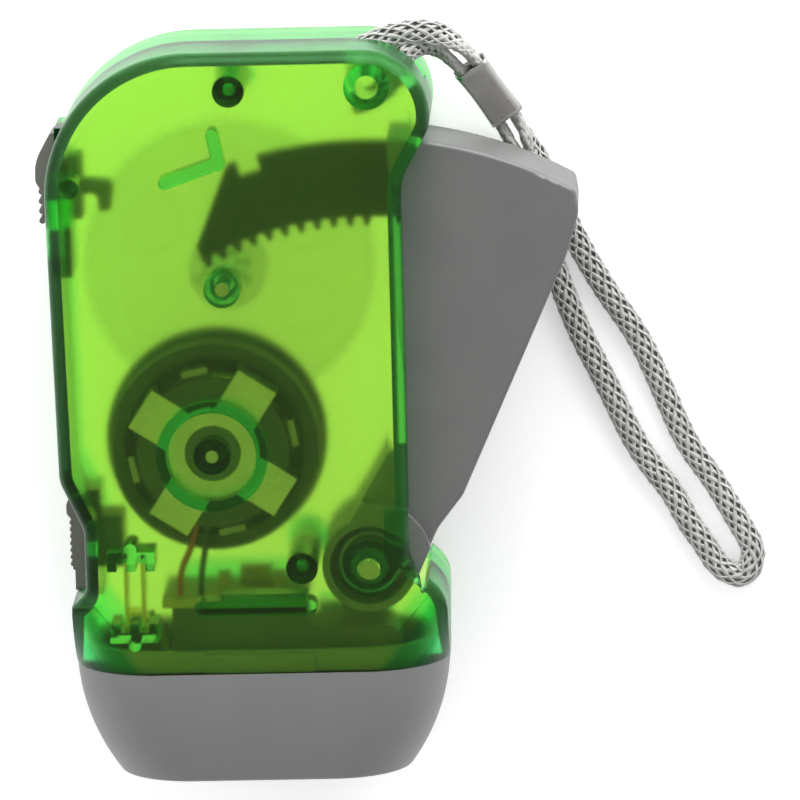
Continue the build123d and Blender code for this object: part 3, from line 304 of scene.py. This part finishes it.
# %% Crimp
crimp_start = Vector((31.2, 47.2, 7.8)) * mm
crimp_end = Vector((36.2, 39.5, 4.3)) * mm
crimp_along = (crimp_end - crimp_start).normalized()
crimp_side = Vector((0, 0, 1)).cross(crimp_along).normalized()
crimp_up = crimp_along.cross(crimp_side)
crimp_outside = (5.2 * mm, 3.1 * mm)
crimp_inside = (4.7 * mm, 2.6 * mm)
crimp_lips = (-0.8 * mm, 0.25 * mm)
crimp_corner = 0.9 * mm
crimp_corner_steps = 6
crimp_rings = 13
crimp_waist = 0.07


def crimp_outline(width, height):
    """The folded strip seen from its end, from one lip round to the other."""
    x_in = width / 2 - crimp_corner
    y_in = height / 2 - crimp_corner
    corners = [(-x_in, -y_in, 180), (x_in, -y_in, 270), (x_in, y_in, 0), (-x_in, y_in, 90)]
    points = [(-width / 2, crimp_lips[0])]
    for x, y, first_angle in corners:
        for step in range(crimp_corner_steps + 1):
            turn = math.radians(first_angle + 90 * step / crimp_corner_steps)
            points.append((x + crimp_corner * math.cos(turn), y + crimp_corner * math.sin(turn)))
    points.append((-width / 2, crimp_lips[1]))
    return points


def build_crimp():
    """The folded strip, slightly waisted in the middle where the tool pressed it."""
    length = (crimp_end - crimp_start).length
    outer = crimp_outline(*crimp_outside)
    loop = outer + crimp_outline(*crimp_inside)[::-1]
    vertices = []
    for ring in range(crimp_rings):
        share = ring / (crimp_rings - 1)
        waist = 1 - crimp_waist * math.sin(math.pi * share)
        centre = crimp_start + crimp_along * (length * share)
        for x, y in loop:
            vertices.append(centre + crimp_side * (x * waist) + crimp_up * (y * waist))
    total = len(loop)
    faces = tube_faces(crimp_rings, total, closed_ends=False)
    for first in (0, (crimp_rings - 1) * total):
        for step in range(len(outer) - 1):
            outside = first + step
            inside = first + total - 1 - step
            quad = (outside, outside + 1, inside - 1, inside)
            faces.append(quad if first else quad[::-1])
    return new_piece("strap_crimp_sheet", vertices, faces)


crimp = build_crimp()
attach(crimp, "case")
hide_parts("strap_crimp")
print("crimp faces", len(crimp.data.polygons))

# %% [markdown]
# Some metal and board pieces end exactly where a plastic boss or rib ends. Through clear plastic
# such a shared face looks black. So a copy of each stops a hair's breadth short of the plastic, as
# the real one does, and stands in for the CAD solid.

# %% Pieces seated with a hair's gap
seat_gap = 0.05 * mm
seated_names = ["claw_plate_front", "circuit_board", "lever_pin", "gear_axle", "flywheel_axle"]


def seat_short(name):
    """A copy of a CAD solid, shorter by the gap at its front and rear ends."""
    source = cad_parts[name]
    mesh = source.data.copy()
    mesh.name = name + "_seated"
    heights = [vertex.co.z for vertex in mesh.vertices]
    middle = (min(heights) + max(heights)) / 2
    half_height = (max(heights) - min(heights)) / 2
    for vertex in mesh.vertices:
        vertex.co.z = middle + (vertex.co.z - middle) * (half_height - seat_gap) / half_height
    piece = new_object(name + "_seated", mesh)
    piece.matrix_world = source.matrix_world.copy()
    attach(piece, "case")
    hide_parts(name)
    return piece


seated = {name: seat_short(name) for name in seated_names}
print("seated pieces:", len(seated))

# %% [markdown]
# Two self-tapping screws close the case from behind. Each has a flat head with a cross recess and
# a threaded shank. A cross could be cut with a Boolean modifier, but twelve corners, listed one by
# one, are quicker and cleaner. So the screws are built in bmesh, loop by loop.

# %% Loops for the screws
recess_reach = 1.05 * mm
recess_half = 0.24 * mm


def round_loop(mesh, x, y, z, radius, count):
    """A level ring of vertices."""
    loop = []
    for step in range(count):
        turn = 2 * math.pi * step / count
        place = (x + radius * math.cos(turn), y + radius * math.sin(turn), z)
        loop.append(mesh.verts.new(place))
    return loop


def cross_loop(mesh, x, y, z):
    """The twelve corners of the cross recess, in order."""
    arm = [(recess_reach, -recess_half), (recess_reach, recess_half), (recess_half, recess_half)]
    corners = []
    for quarter in range(4):
        for a, b in arm:
            for _ in range(quarter):
                a, b = -b, a
            corners.append(mesh.verts.new((x + a, y + b, z)))
    return corners


def join_loops(mesh, first, second):
    """A wall of faces between two loops of as many vertices."""
    count = len(first)
    for step in range(count):
        after = (step + 1) % count
        mesh.faces.new((first[step], first[after], second[after], second[step]))


def loop_edges(mesh, loop):
    """The edges that run round a loop."""
    return [mesh.edges.get((a, b)) for a, b in zip(loop, loop[1:] + loop[:1])]


print("cross recess", round(2 * recess_reach / mm, 2), "mm across")

# %% [markdown]
# The head's lower face is filled round the cross's mouth, so the recess is real and not painted.
# The shank is turned from a zigzag line. A helix would be truer, but nobody can tell the two apart
# on a thread this small.

# %% Case screws
screw_places = [(-2.4 * mm, 47.0 * mm), (6.2 * mm, -21.4 * mm)]
head_radius = 1.87 * mm
head_low = 0.6 * mm
head_high = 1.93 * mm
head_sides = 24
recess_depth = 0.8 * mm
shank_radius = 0.85 * mm
shank_sunk = 0.1 * mm
shank_high = 23.9 * mm
shank_sides = 12
thread_pitch = 0.5 * mm
thread_root = 0.8
tip_share = 0.6
tip_steps = 3


def add_head(mesh, x, y):
    """The flat head, open at its lower face where the cross goes in."""
    low = round_loop(mesh, x, y, head_low, head_radius, head_sides)
    high = round_loop(mesh, x, y, head_high, head_radius, head_sides)
    join_loops(mesh, low, high)
    mesh.faces.new(high)
    mouth = cross_loop(mesh, x, y, head_low)
    recess_floor = cross_loop(mesh, x, y, head_low + recess_depth)
    join_loops(mesh, mouth, recess_floor)
    mesh.faces.new(recess_floor)
    edges = loop_edges(mesh, low) + loop_edges(mesh, mouth)
    bmesh.ops.triangle_fill(mesh, use_beauty=True, edges=edges)


def add_shank(mesh, x, y):
    """The threaded shank: its radius goes in and out every half pitch, and is less at the tip."""
    steps = int((shank_high - head_high) / (thread_pitch / 2))
    ring = round_loop(mesh, x, y, head_high - shank_sunk, shank_radius, shank_sides)
    mesh.faces.new(ring)
    for step in range(1, steps + 1):
        radius = shank_radius * (thread_root if step % 2 else 1.0)
        if step > steps - tip_steps:
            radius *= tip_share
        after = round_loop(mesh, x, y, head_high + step * thread_pitch / 2, radius, shank_sides)
        join_loops(mesh, ring, after)
        ring = after
    mesh.faces.new(ring)


def build_screws():
    """Both screws as one piece, as they are in CAD."""
    mesh = bmesh.new()
    for x, y in screw_places:
        add_head(mesh, x, y)
        add_shank(mesh, x, y)
    bmesh.ops.recalc_face_normals(mesh, faces=mesh.faces[:])
    data = bpy.data.meshes.new("case_screws_cut")
    mesh.to_mesh(data)
    mesh.free()
    return new_object("case_screws_cut", data)


screws = build_screws()
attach(screws, "case")
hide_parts("case_screws")
print("screws:", len(screw_places), "faces:", len(screws.data.polygons))

# %% [markdown]
# In each clear lamp a small metal cup holds a chip under yellow phosphor. They are round, so each
# is a short line of radius and length, turned about the lamp's own axis. Both sit inside the CAD
# dome, which stays as the lamp's clear body.

# %% Lamp dies
lamp_places = [-9.6, 0.0, 9.6]
lamp_height = 15
turned_sides = 20
least_radius = 0.01
cup_line = [(0.0, -43.9), (0.5, -43.9), (1.05, -44.9), (0.9, -44.9), (0.45, -44.2), (0.0, -44.2)]
phosphor_line = [(0.0, -44.25), (0.45, -44.25), (0.8, -44.75), (0.4, -44.95), (0.0, -45.0)]


def turned_piece(name, line, x):
    """Turn a line of radius and y about the lamp's axis. Its numbers are in millimetres."""
    vertices = []
    for radius, y in line:
        reach = max(radius, least_radius)
        for step in range(turned_sides):
            turn = 2 * math.pi * step / turned_sides
            place_x = x + reach * math.cos(turn)
            place_z = lamp_height + reach * math.sin(turn)
            vertices.append((place_x * mm, y * mm, place_z * mm))
    return new_piece(name, vertices, tube_faces(len(line), turned_sides))


lamp_cups = []
lamp_phosphors = []
for number, x in enumerate(lamp_places, start=1):
    lamp_cups.append(turned_piece(f"lamp_cup_{number}", cup_line, x))
    lamp_phosphors.append(turned_piece(f"lamp_phosphor_{number}", phosphor_line, x))
for piece in lamp_cups + lamp_phosphors:
    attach(piece, "case")
print("lamp dies:", len(lamp_cups))

# %% [markdown]
# A material is a tree of nodes. The same few steps come back in many trees: feed a socket, do a
# sum, stretch a value's range, mix two colours, and ask where a point lies. A short helper for
# each keeps the materials below readable.

# %% Node helpers


def feed(tree, socket, term):
    """Link another node's output into a socket, or set the socket's own value."""
    if isinstance(term, bpy.types.NodeSocket):
        tree.links.new(term, socket)
    else:
        socket.default_value = term


def math_node(tree, operation, *terms):
    """A Math node's result. Each term is a number or another node's output."""
    node = tree.nodes.new("ShaderNodeMath")
    node.operation = operation
    for socket, term in zip(node.inputs, terms):
        feed(tree, socket, term)
    return node.outputs[0]


def range_node(tree, value, source=(0.0, 1.0), target=(0.0, 1.0)):
    """A Map Range node's result: source's two ends become target's two ends."""
    node = tree.nodes.new("ShaderNodeMapRange")
    for label, end in zip(("From Min", "From Max", "To Min", "To Max"), (*source, *target)):
        node.inputs[label].default_value = end
    tree.links.new(value, node.inputs["Value"])
    return node.outputs["Result"]


def mix_node(tree, factor, first, second):
    """The first colour where the factor is 0, the second where it is 1."""
    node = tree.nodes.new("ShaderNodeMix")
    node.data_type = "RGBA"
    feed(tree, node.inputs["Factor"], factor)
    feed(tree, node.inputs["A"], first)
    feed(tree, node.inputs["B"], second)
    return node.outputs["Result"]


def place_axes(tree):
    """A point's X, Y and Z in the piece's own space, which is the shared frame at rest."""
    place = tree.nodes.new("ShaderNodeTexCoord")
    axes = tree.nodes.new("ShaderNodeSeparateXYZ")
    tree.links.new(place.outputs["Object"], axes.inputs[0])
    return axes.outputs


print("node helpers: feed, math_node, range_node, mix_node, place_axes")

# %% [markdown]
# Several finishes need the same small surface effects, so each effect is a node group with named
# inputs and outputs, built once. All of them start from noise that is fixed to the piece, so it
# moves with a part that moves.

# %% Groups and noise


def new_group(name, inputs, outputs):
    """An empty node group with its sockets, its input node and its output node."""
    group = bpy.data.node_groups.new(name, "ShaderNodeTree")
    for label, kind, value in inputs:
        socket = group.interface.new_socket(label, in_out="INPUT", socket_type=kind)
        socket.default_value = value
    for label, kind in outputs:
        group.interface.new_socket(label, in_out="OUTPUT", socket_type=kind)
    return group, group.nodes.new("NodeGroupInput"), group.nodes.new("NodeGroupOutput")


def noise_node(group, entry, detail, stretch=None):
    """Noise fixed to the piece, scaled by the group's Scale input."""
    place = group.nodes.new("ShaderNodeTexCoord")
    noise = group.nodes.new("ShaderNodeTexNoise")
    noise.inputs["Detail"].default_value = detail
    source = place.outputs["Object"]
    if stretch:
        mapping = group.nodes.new("ShaderNodeMapping")
        mapping.inputs["Scale"].default_value = stretch
        group.links.new(source, mapping.inputs["Vector"])
        source = mapping.outputs["Vector"]
    group.links.new(source, noise.inputs["Vector"])
    group.links.new(entry.outputs["Scale"], noise.inputs["Scale"])
    return noise.outputs["Fac"]


print("group helpers: new_group, noise_node")

# %% [markdown]
# A mould leaves a fine grain on plastic, and cloth has its fuzz. From arm's length both only
# soften the gloss. So the first effect is a height for a Bump node, and no geometry.

# %% Fine grain
grain_detail = 3.0

grain_group, grain_in, grain_out = new_group(
    "fine_grain",
    [("Scale", "NodeSocketFloat", 4000.0)],
    [("Height", "NodeSocketFloat")],
)
grain_noise = noise_node(grain_group, grain_in, grain_detail)
grain_group.links.new(grain_noise, grain_out.inputs["Height"])
print("group:", grain_group.name)

# %% [markdown]
# No moulded or plated face has one even colour. The second effect blends two close colours in soft
# patches. The mask's narrow range keeps the patches apart, where plain noise would be a blur.

# %% Soft patches
patch_detail = 4.0
patch_edges = (0.35, 0.65)

patch_group, patch_in, patch_out = new_group(
    "soft_patches",
    [
        ("Scale", "NodeSocketFloat", 60.0),
        ("Colour", "NodeSocketColor", (0.5, 0.5, 0.5, 1)),
        ("Second Colour", "NodeSocketColor", (0.4, 0.4, 0.4, 1)),
    ],
    [("Colour", "NodeSocketColor")],
)
patch_noise = noise_node(patch_group, patch_in, patch_detail)
patch_mask = range_node(patch_group, patch_noise, source=patch_edges)
patch_colours = patch_in.outputs["Colour"], patch_in.outputs["Second Colour"]
patch_mix = mix_node(patch_group, patch_mask, *patch_colours)
patch_group.links.new(patch_mix, patch_out.inputs["Colour"])
print("group:", patch_group.name)

# %% [markdown]
# Drawing and brushing leave streaks on metal. The third effect is noise stretched along one
# direction. It gives a height and a roughness together, so that the raised streaks are the dull
# ones.

# %% Metal streaks
streak_detail = 2.0
streak_stretch = (1.0, 1.0, 0.08)
streak_roughness = (0.2, 0.42)

streak_group, streak_in, streak_out = new_group(
    "metal_streaks",
    [("Scale", "NodeSocketFloat", 900.0)],
    [("Height", "NodeSocketFloat"), ("Roughness", "NodeSocketFloat")],
)
streak_noise = noise_node(streak_group, streak_in, streak_detail, streak_stretch)
streak_rough = range_node(streak_group, streak_noise, target=streak_roughness)
streak_group.links.new(streak_noise, streak_out.inputs["Height"])
streak_group.links.new(streak_rough, streak_out.inputs["Roughness"])
print("node groups:", [group.name for group in bpy.data.node_groups])

# %% [markdown]
# Each material starts from Blender's Principled shader, places the groups above with its own
# values, and joins what they give to the shader's sockets. The shader stays in the material
# itself, and what is the same all over is set on its own sockets.

# %% Start a material, and join effects to it


def start_material(name):
    """A new material, its tree and its shader."""
    material = bpy.data.materials.new(name)
    material.use_nodes = True
    tree = material.node_tree
    return material, tree, tree.nodes["Principled BSDF"]


def place_group(tree, group, **values):
    """A shared effect in this tree. An underscore in a name stands for a space."""
    node = tree.nodes.new("ShaderNodeGroup")
    node.node_tree = group
    for label, value in values.items():
        node.inputs[label.replace("_", " ")].default_value = value
    return node.outputs


def join_bump(tree, shader, height, strength, distance):
    """Bend the shader's normals by a height."""
    bump = tree.nodes.new("ShaderNodeBump")
    bump.inputs["Strength"].default_value = strength
    bump.inputs["Distance"].default_value = distance
    tree.links.new(height, bump.inputs["Height"])
    tree.links.new(bump.outputs["Normal"], shader.inputs["Normal"])


def join_patches(tree, shader, colour, second, scale):
    """Colour the shader with two close colours in soft patches."""
    colours = {"Colour": (*colour, 1), "Second_Colour": (*second, 1)}
    tint = place_group(tree, patch_group, Scale=scale, **colours)
    tree.links.new(tint["Colour"], shader.inputs["Base Color"])


print("material helpers: start_material, place_group, join_bump, join_patches")

# %% [markdown]
# Nearly every surface here is one of three kinds: opaque moulded plastic, drawn or pressed metal,
# or clear plastic. One function for each kind keeps the finishes alike where the real ones are,
# and lets each differ in colour, gloss and the size of its grain.

# %% Kinds of material
moulded_relief = 0.04 * mm
drawn_relief = 0.03 * mm
clear_relief = 0.05 * mm


def moulded_plastic(name, colour, second, roughness, grain=5000.0, strength=0.25, patches=90.0):
    """Opaque moulded plastic: two close colours in patches, and a fine grain."""
    material, tree, shader = start_material(name)
    join_patches(tree, shader, colour, second, patches)
    shader.inputs["Roughness"].default_value = roughness
    texture = place_group(tree, grain_group, Scale=grain)
    join_bump(tree, shader, texture["Height"], strength, moulded_relief)
    return material


def drawn_metal(name, colour, second, scale=1500.0, strength=0.2, patches=200.0):
    """Metal with fine streaks that change its roughness."""
    material, tree, shader = start_material(name)
    join_patches(tree, shader, colour, second, patches)
    shader.inputs["Metallic"].default_value = 1.0
    streaks = place_group(tree, streak_group, Scale=scale)
    tree.links.new(streaks["Roughness"], shader.inputs["Roughness"])
    join_bump(tree, shader, streaks["Height"], strength, drawn_relief)
    return material


def clear_plastic(name, colour, roughness, ior=1.49, grain=900.0, strength=0.05, clearness=1.0):
    """See-through plastic. Its colour tints what shows through each wall."""
    material, tree, shader = start_material(name)
    shader.inputs["Base Color"].default_value = (*colour, 1)
    shader.inputs["Transmission Weight"].default_value = clearness
    shader.inputs["Roughness"].default_value = roughness
    shader.inputs["IOR"].default_value = ior
    texture = place_group(tree, grain_group, Scale=grain)
    join_bump(tree, shader, texture["Height"], strength, clear_relief)
    return material


print("kinds of material: moulded plastic, drawn metal, clear plastic")

# %% [markdown]
# The case is thin green plastic, clear but slightly hazy: what touches it looks sharp, and what
# lies deeper is soft. Rough transmission does both. The shader tints light once at each surface,
# however thick the plastic is, but the real rims, ribs and side walls are a deeper and bluer green
# than the thin faces, because they are seen edge on. An absorbing volume would give that too, at
# the price of noise. Here a mask of the height in the case, joined with the Layer Weight node,
# picks the deep green for them. A green Specular Tint keeps the pale room's reflection in the
# plastic green.

# %% Clear green case
thin_green = (0.64, 0.89, 0.27)
deep_green = (0.06, 0.66, 0.16)
reflected_green = (0.3, 1.0, 0.45)
case_middle = 15 * mm
faces_beyond = 12.9 * mm
rims_within = 12.4 * mm
edge_blend = 0.55


def deepen_rims(material):
    """Thin green on the front and rear faces, deep green between them and at a glancing view."""
    tree = material.node_tree
    shader = tree.nodes["Principled BSDF"]
    from_middle = math_node(tree, "SUBTRACT", place_axes(tree)["Z"], case_middle)
    height = math_node(tree, "ABSOLUTE", from_middle)
    between_faces = range_node(tree, height, source=(faces_beyond, rims_within))
    turned_away = tree.nodes.new("ShaderNodeLayerWeight")
    turned_away.inputs["Blend"].default_value = edge_blend
    deeper = math_node(tree, "MAXIMUM", between_faces, turned_away.outputs["Facing"])
    green = mix_node(tree, deeper, (*thin_green, 1), (*deep_green, 1))
    tree.links.new(green, shader.inputs["Base Color"])
    shader.inputs["Specular Tint"].default_value = (*reflected_green, 1)


green_case = clear_plastic("clear_green_case", thin_green, 0.24, ior=1.26, clearness=0.985)
deepen_rims(green_case)
print("case material:", green_case.name)

# %% [markdown]
# The lever's grey is a little darker than the cap's. Its toothed sector lies deep in the case,
# in the shade of the parts round it, and that shade is painted into its colour: nearly black
# through the plastic. It is one moulding with the lever, so the dark part isn't a second piece: two
# masks of the place, one along the lever's reach and one through its thickness, pick it out.

# %% Grey lever and the painted shade on its sector
sector_before = 19.5 * mm
sector_half_depth = 1.85 * mm
# Painted shade: the near black that the sector gets because it lies in the case's shade.
sector_painted_shade = (0.012, 0.012, 0.012)


def shade_sector(material):
    """Paint shade on what lies near the case's middle height and left of the lever's body."""
    tree = material.node_tree
    colour_in = tree.nodes["Principled BSDF"].inputs["Base Color"]
    axes = place_axes(tree)
    inside = math_node(tree, "LESS_THAN", axes["X"], sector_before)
    at_middle = math_node(tree, "COMPARE", axes["Z"], case_middle, sector_half_depth)
    sector = math_node(tree, "MULTIPLY", inside, at_middle)
    bare = colour_in.links[0].from_socket
    tree.links.new(mix_node(tree, sector, bare, (*sector_painted_shade, 1)), colour_in)


grey_moulding = moulded_plastic("grey_moulding", (0.135, 0.134, 0.132), (0.124, 0.123, 0.122), 0.42)
shade_sector(grey_moulding)
print("lever material:", grey_moulding.name)

# %% [markdown]
# The other plastics differ in colour, in how glossy they are and in how coarse their grain is. The
# gears are milky nylon, which lets some light through. The boards have a coarser grain. The ring
# magnet is pressed from powder, so it is the most matt, and its grain is the strongest.

# %% Other plastics, boards and the magnet
grey_cap = moulded_plastic("grey_cap", (0.178, 0.182, 0.180), (0.166, 0.170, 0.168), 0.4)
slider_grey = moulded_plastic("slider_grey", (0.150, 0.140, 0.126), (0.135, 0.127, 0.116), 0.45)
holder_grey = moulded_plastic("holder_grey", (0.07, 0.07, 0.065), (0.05, 0.05, 0.05), 0.5)
black_plastic = moulded_plastic("black_plastic", (0.03, 0.03, 0.032), (0.05, 0.05, 0.052), 0.45)
wheel_plastic = moulded_plastic("wheel_plastic", (0.018, 0.02, 0.022), (0.028, 0.03, 0.032), 0.4)
nylon = clear_plastic("milky_nylon", (0.97, 0.97, 0.93), 0.4, ior=1.3, clearness=0.9)
board_tan = moulded_plastic("board_tan", (0.46, 0.33, 0.16), (0.40, 0.28, 0.13), 0.5, 2500.0)
board_green = moulded_plastic("board_green", (0.04, 0.16, 0.07), (0.05, 0.20, 0.09), 0.35, 2500.0)
magnet_grey = moulded_plastic(
    "ferrite", (0.03, 0.03, 0.032), (0.045, 0.045, 0.048), 0.6, 3000.0, 0.5
)
print("materials so far:", len(bpy.data.materials))

# %% [markdown]
# The metals share one function too. Steel pins are ground, springs and wire are drawn, and the
# claws, the contact leaf and the crimp are pressed from plated sheet. The coil is hundreds of
# turns of fine copper wire. Modelling each turn would take far more faces than its few
# millimetres deserve, so a zigzag height, one wire thickness apart, goes to its Bump node. That
# height is in metres already, so its relief is 1.

# %% Metals and the copper winding
wire_thickness = 0.3 * mm
winding_strength = 0.9
winding_relief = 1.0


def wind_turns(material):
    """Close turns of wire round the upright axle, as a height."""
    tree = material.node_tree
    turns = math_node(tree, "PINGPONG", place_axes(tree)["Z"], wire_thickness / 2)
    join_bump(tree, tree.nodes["Principled BSDF"], turns, winding_strength, winding_relief)


ground_steel = drawn_metal("ground_steel", (0.56, 0.56, 0.56), (0.48, 0.48, 0.49))
spring_wire = drawn_metal("spring_wire", (0.46, 0.46, 0.48), (0.38, 0.38, 0.40))
plated_sheet = drawn_metal("plated_sheet", (0.72, 0.71, 0.64), (0.62, 0.62, 0.56), 700.0)
# The rear claw plate is the same plated sheet as the front one. It is darker only as painted shade,
# since it lies deep in the case, behind the front claws.
painted_shade_sheet = drawn_metal("painted_shade_sheet", (0.34, 0.34, 0.31), (0.27, 0.27, 0.25), 700.0)
bright_plate = drawn_metal("bright_plate", (0.52, 0.505, 0.48), (0.44, 0.43, 0.41), 500.0, 0.06)
chrome_film = drawn_metal("chrome_film", (0.86, 0.86, 0.86), (0.80, 0.80, 0.81), 300.0, 0.05)
brass = drawn_metal("brass_leaf", (0.80, 0.60, 0.24), (0.70, 0.52, 0.2))
copper = drawn_metal("copper_wire", (0.78, 0.36, 0.14), (0.66, 0.28, 0.10), 2500.0)
wind_turns(copper)
print("materials so far:", len(bpy.data.materials))

# %% [markdown]
# The lens and the lamps' domes are clear and polished. The leads have a glossy skin. The strap's
# cloth is matt, with a little sheen from loose fibres, and its core is darker, so that the gaps
# between the strands read as shadow.

# %% Lens, lamps, leads and cloth
fibre_sheen = 0.3

lens_clear = clear_plastic("lens_clear", (0.97, 0.98, 0.98), 0.03)
led_clear = clear_plastic("led_clear", (0.96, 0.97, 0.93), 0.05, 1.5)
phosphor_yellow = moulded_plastic("phosphor_yellow", (0.78, 0.70, 0.12), (0.70, 0.62, 0.10), 0.5)
wire_yellow = moulded_plastic("wire_yellow", (0.75, 0.58, 0.05), (0.66, 0.5, 0.04), 0.35)
wire_red = moulded_plastic("wire_red", (0.55, 0.04, 0.03), (0.46, 0.03, 0.03), 0.35)
wire_black = moulded_plastic("wire_black", (0.02, 0.02, 0.02), (0.03, 0.03, 0.03), 0.35)
strand_cloth = moulded_plastic(
    "strand_cloth", (0.50, 0.49, 0.475), (0.40, 0.395, 0.38), 0.75, 9000.0, 0.5, 500.0
)
core_cloth = moulded_plastic(
    "core_cloth", (0.22, 0.22, 0.215), (0.17, 0.17, 0.17), 0.85, 9000.0, 0.4
)
for cloth in (strand_cloth, core_cloth):
    cloth.node_tree.nodes["Principled BSDF"].inputs["Sheen Weight"].default_value = fibre_sheen
print("materials:", len(bpy.data.materials))

# %% [markdown]
# Every CAD solid whose shape is right keeps its mesh and only gets its finish. The new pieces get
# theirs here too. The strap is one mesh with two materials, one for its strands and one for its
# core, whose faces come first in the mesh.

# %% Dress all pieces
finishes = {
    green_case: ["front_shell", "rear_shell"],
    grey_moulding: ["lever"],
    grey_cap: ["nose_cap"],
    slider_grey: ["lock_slider", "switch_knob", "switch_bezel"],
    nylon: ["drive_pinion", "drive_gear", "stator_bush"],
    black_plastic: ["switch_body", "coil_bobbin"],
    holder_grey: ["lamp_holder"],
    wheel_plastic: ["flywheel"],
    board_green: ["led_board"],
    magnet_grey: ["ring_magnet"],
    ground_steel: ["stator_core", "button_cells"],
    # The rear claw plate's darker sheet is painted shade.
    painted_shade_sheet: ["claw_plate_rear"],
    spring_wire: ["lever_spring", "clutch_spring"],
    copper: ["coil_winding"],
    brass: ["contact_leaf"],
    chrome_film: ["reflector"],
    lens_clear: ["lens"],
    led_clear: ["led_1", "led_2", "led_3"],
    wire_yellow: ["lead_yellow"],
    wire_red: ["lead_red"],
    wire_black: ["lead_black"],
}


def dress(piece, *materials):
    """Give a piece these materials and no others."""
    piece.data.materials.clear()
    for material in materials:
        piece.data.materials.append(material)


for material, names in finishes.items():
    for name in names:
        dress(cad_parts[name], material)
dress(seated["claw_plate_front"], plated_sheet)
dress(seated["circuit_board"], board_tan)
for name in ("lever_pin", "gear_axle", "flywheel_axle"):
    dress(seated[name], ground_steel)
dress(screws, bright_plate)
dress(crimp, bright_plate)
for cup, phosphor in zip(lamp_cups, lamp_phosphors):
    dress(cup, chrome_film)
    dress(phosphor, phosphor_yellow)
dress(strap, strand_cloth, core_cloth)
for face in strap.data.polygons[:strap_core_faces]:
    face.material_index = 1
print("dressed", sum(len(names) for names in finishes.values()), "CAD nodes")

# %% [markdown]
# The torch lies on a plain white floor. A floor lit only by lamps would be grey in the picture,
# and more light would bleach the torch. So the floor glows a little, but only to rays that come
# from the camera, off gloss or through the plastic. Matt surfaces don't see the glow, so they
# don't get brighter, and the floor keeps the torch's shadow. It glows most through the green
# plastic, whose two walls take much of that light away.

# %% White floor
floor_reach = 3.0
floor_drop = 0.1 * mm
floor_white = (0.9, 0.9, 0.9, 1)
floor_roughness = 0.9
glow_by_camera = 0.36
glow_off_gloss = 0.25
glow_through_plastic = 0.85


def seen_glow(tree):
    """How much the floor glows to camera rays, to rays off gloss, and to rays through plastic."""
    path = tree.nodes.new("ShaderNodeLightPath").outputs
    direct = math_node(tree, "MULTIPLY", path["Is Camera Ray"], glow_by_camera)
    glossy = math_node(tree, "MULTIPLY", path["Is Glossy Ray"], glow_off_gloss)
    through = math_node(tree, "MULTIPLY", path["Is Transmission Ray"], glow_through_plastic)
    return math_node(tree, "MAXIMUM", math_node(tree, "MAXIMUM", direct, glossy), through)


floor_mesh = bpy.data.meshes.new("floor")
floor_corners = [
    (side_x * floor_reach, side_y * floor_reach, 0)
    for side_x, side_y in ((-1, -1), (1, -1), (1, 1), (-1, 1))
]
floor_mesh.from_pydata(floor_corners, [], [(0, 1, 2, 3)])
floor = new_object("floor", floor_mesh)
floor.location.z = -floor_drop
floor_material, floor_tree, floor_shader = start_material("white_floor")
floor_shader.inputs["Base Color"].default_value = floor_white
floor_shader.inputs["Roughness"].default_value = floor_roughness
floor_shader.inputs["Emission Color"].default_value = (1, 1, 1, 1)
floor_tree.links.new(seen_glow(floor_tree), floor_shader.inputs["Emission Strength"])
floor_mesh.materials.append(floor_material)
print("floor size", 2 * floor_reach, "m")

# %% [markdown]
# Soft white light comes from all round. It is weaker from straight above than from the horizon,
# so the front face, which looks up, stays a little darker than the walls, as in a light tent.

# %% Sky
horizon_strength = 1.0
zenith_strength = 0.5

world = bpy.data.worlds.new("studio")
bpy.context.scene.world = world
world.use_nodes = True
world_tree = world.node_tree
sky = world_tree.nodes["Background"]
sky.inputs["Color"].default_value = (1, 1, 1, 1)
sky_place = world_tree.nodes.new("ShaderNodeTexCoord")
sky_axes = world_tree.nodes.new("ShaderNodeSeparateXYZ")
world_tree.links.new(sky_place.outputs["Generated"], sky_axes.inputs[0])
sky_strength = range_node(
    world_tree, sky_axes.outputs["Z"], target=(horizon_strength, zenith_strength)
)
world_tree.links.new(sky_strength, sky.inputs["Strength"])
print("sky strength", horizon_strength, "to", zenith_strength)

# %% [markdown]
# One wide lamp stands low beyond the strap end, so the walls that look that way are the brightest.
# A weak one on the left lifts the switch side out of the shade. Both are area lamps, because a
# wide lamp gives soft shadows.

# %% Lamps


def area_lamp(name, place, size, power):
    """A rectangular lamp that looks at the torch's middle."""
    lamp = bpy.data.lights.new(name, "AREA")
    lamp.shape = "RECTANGLE"
    lamp.size, lamp.size_y = size
    lamp.energy = power
    holder = new_object(name, lamp)
    holder.location = place
    holder.rotation_euler = (aim - Vector(place)).to_track_quat("-Z", "Y").to_euler()


area_lamp("top_lamp", (0.25, 0.85, 0.26), (0.9, 0.5), 13.5)
area_lamp("left_lamp", (-0.6, 0.1, 0.5), (0.4, 0.8), 2.0)

bpy.context.scene.view_settings.view_transform = "Standard"
print("lamps:", [lamp.name for lamp in bpy.data.lights])
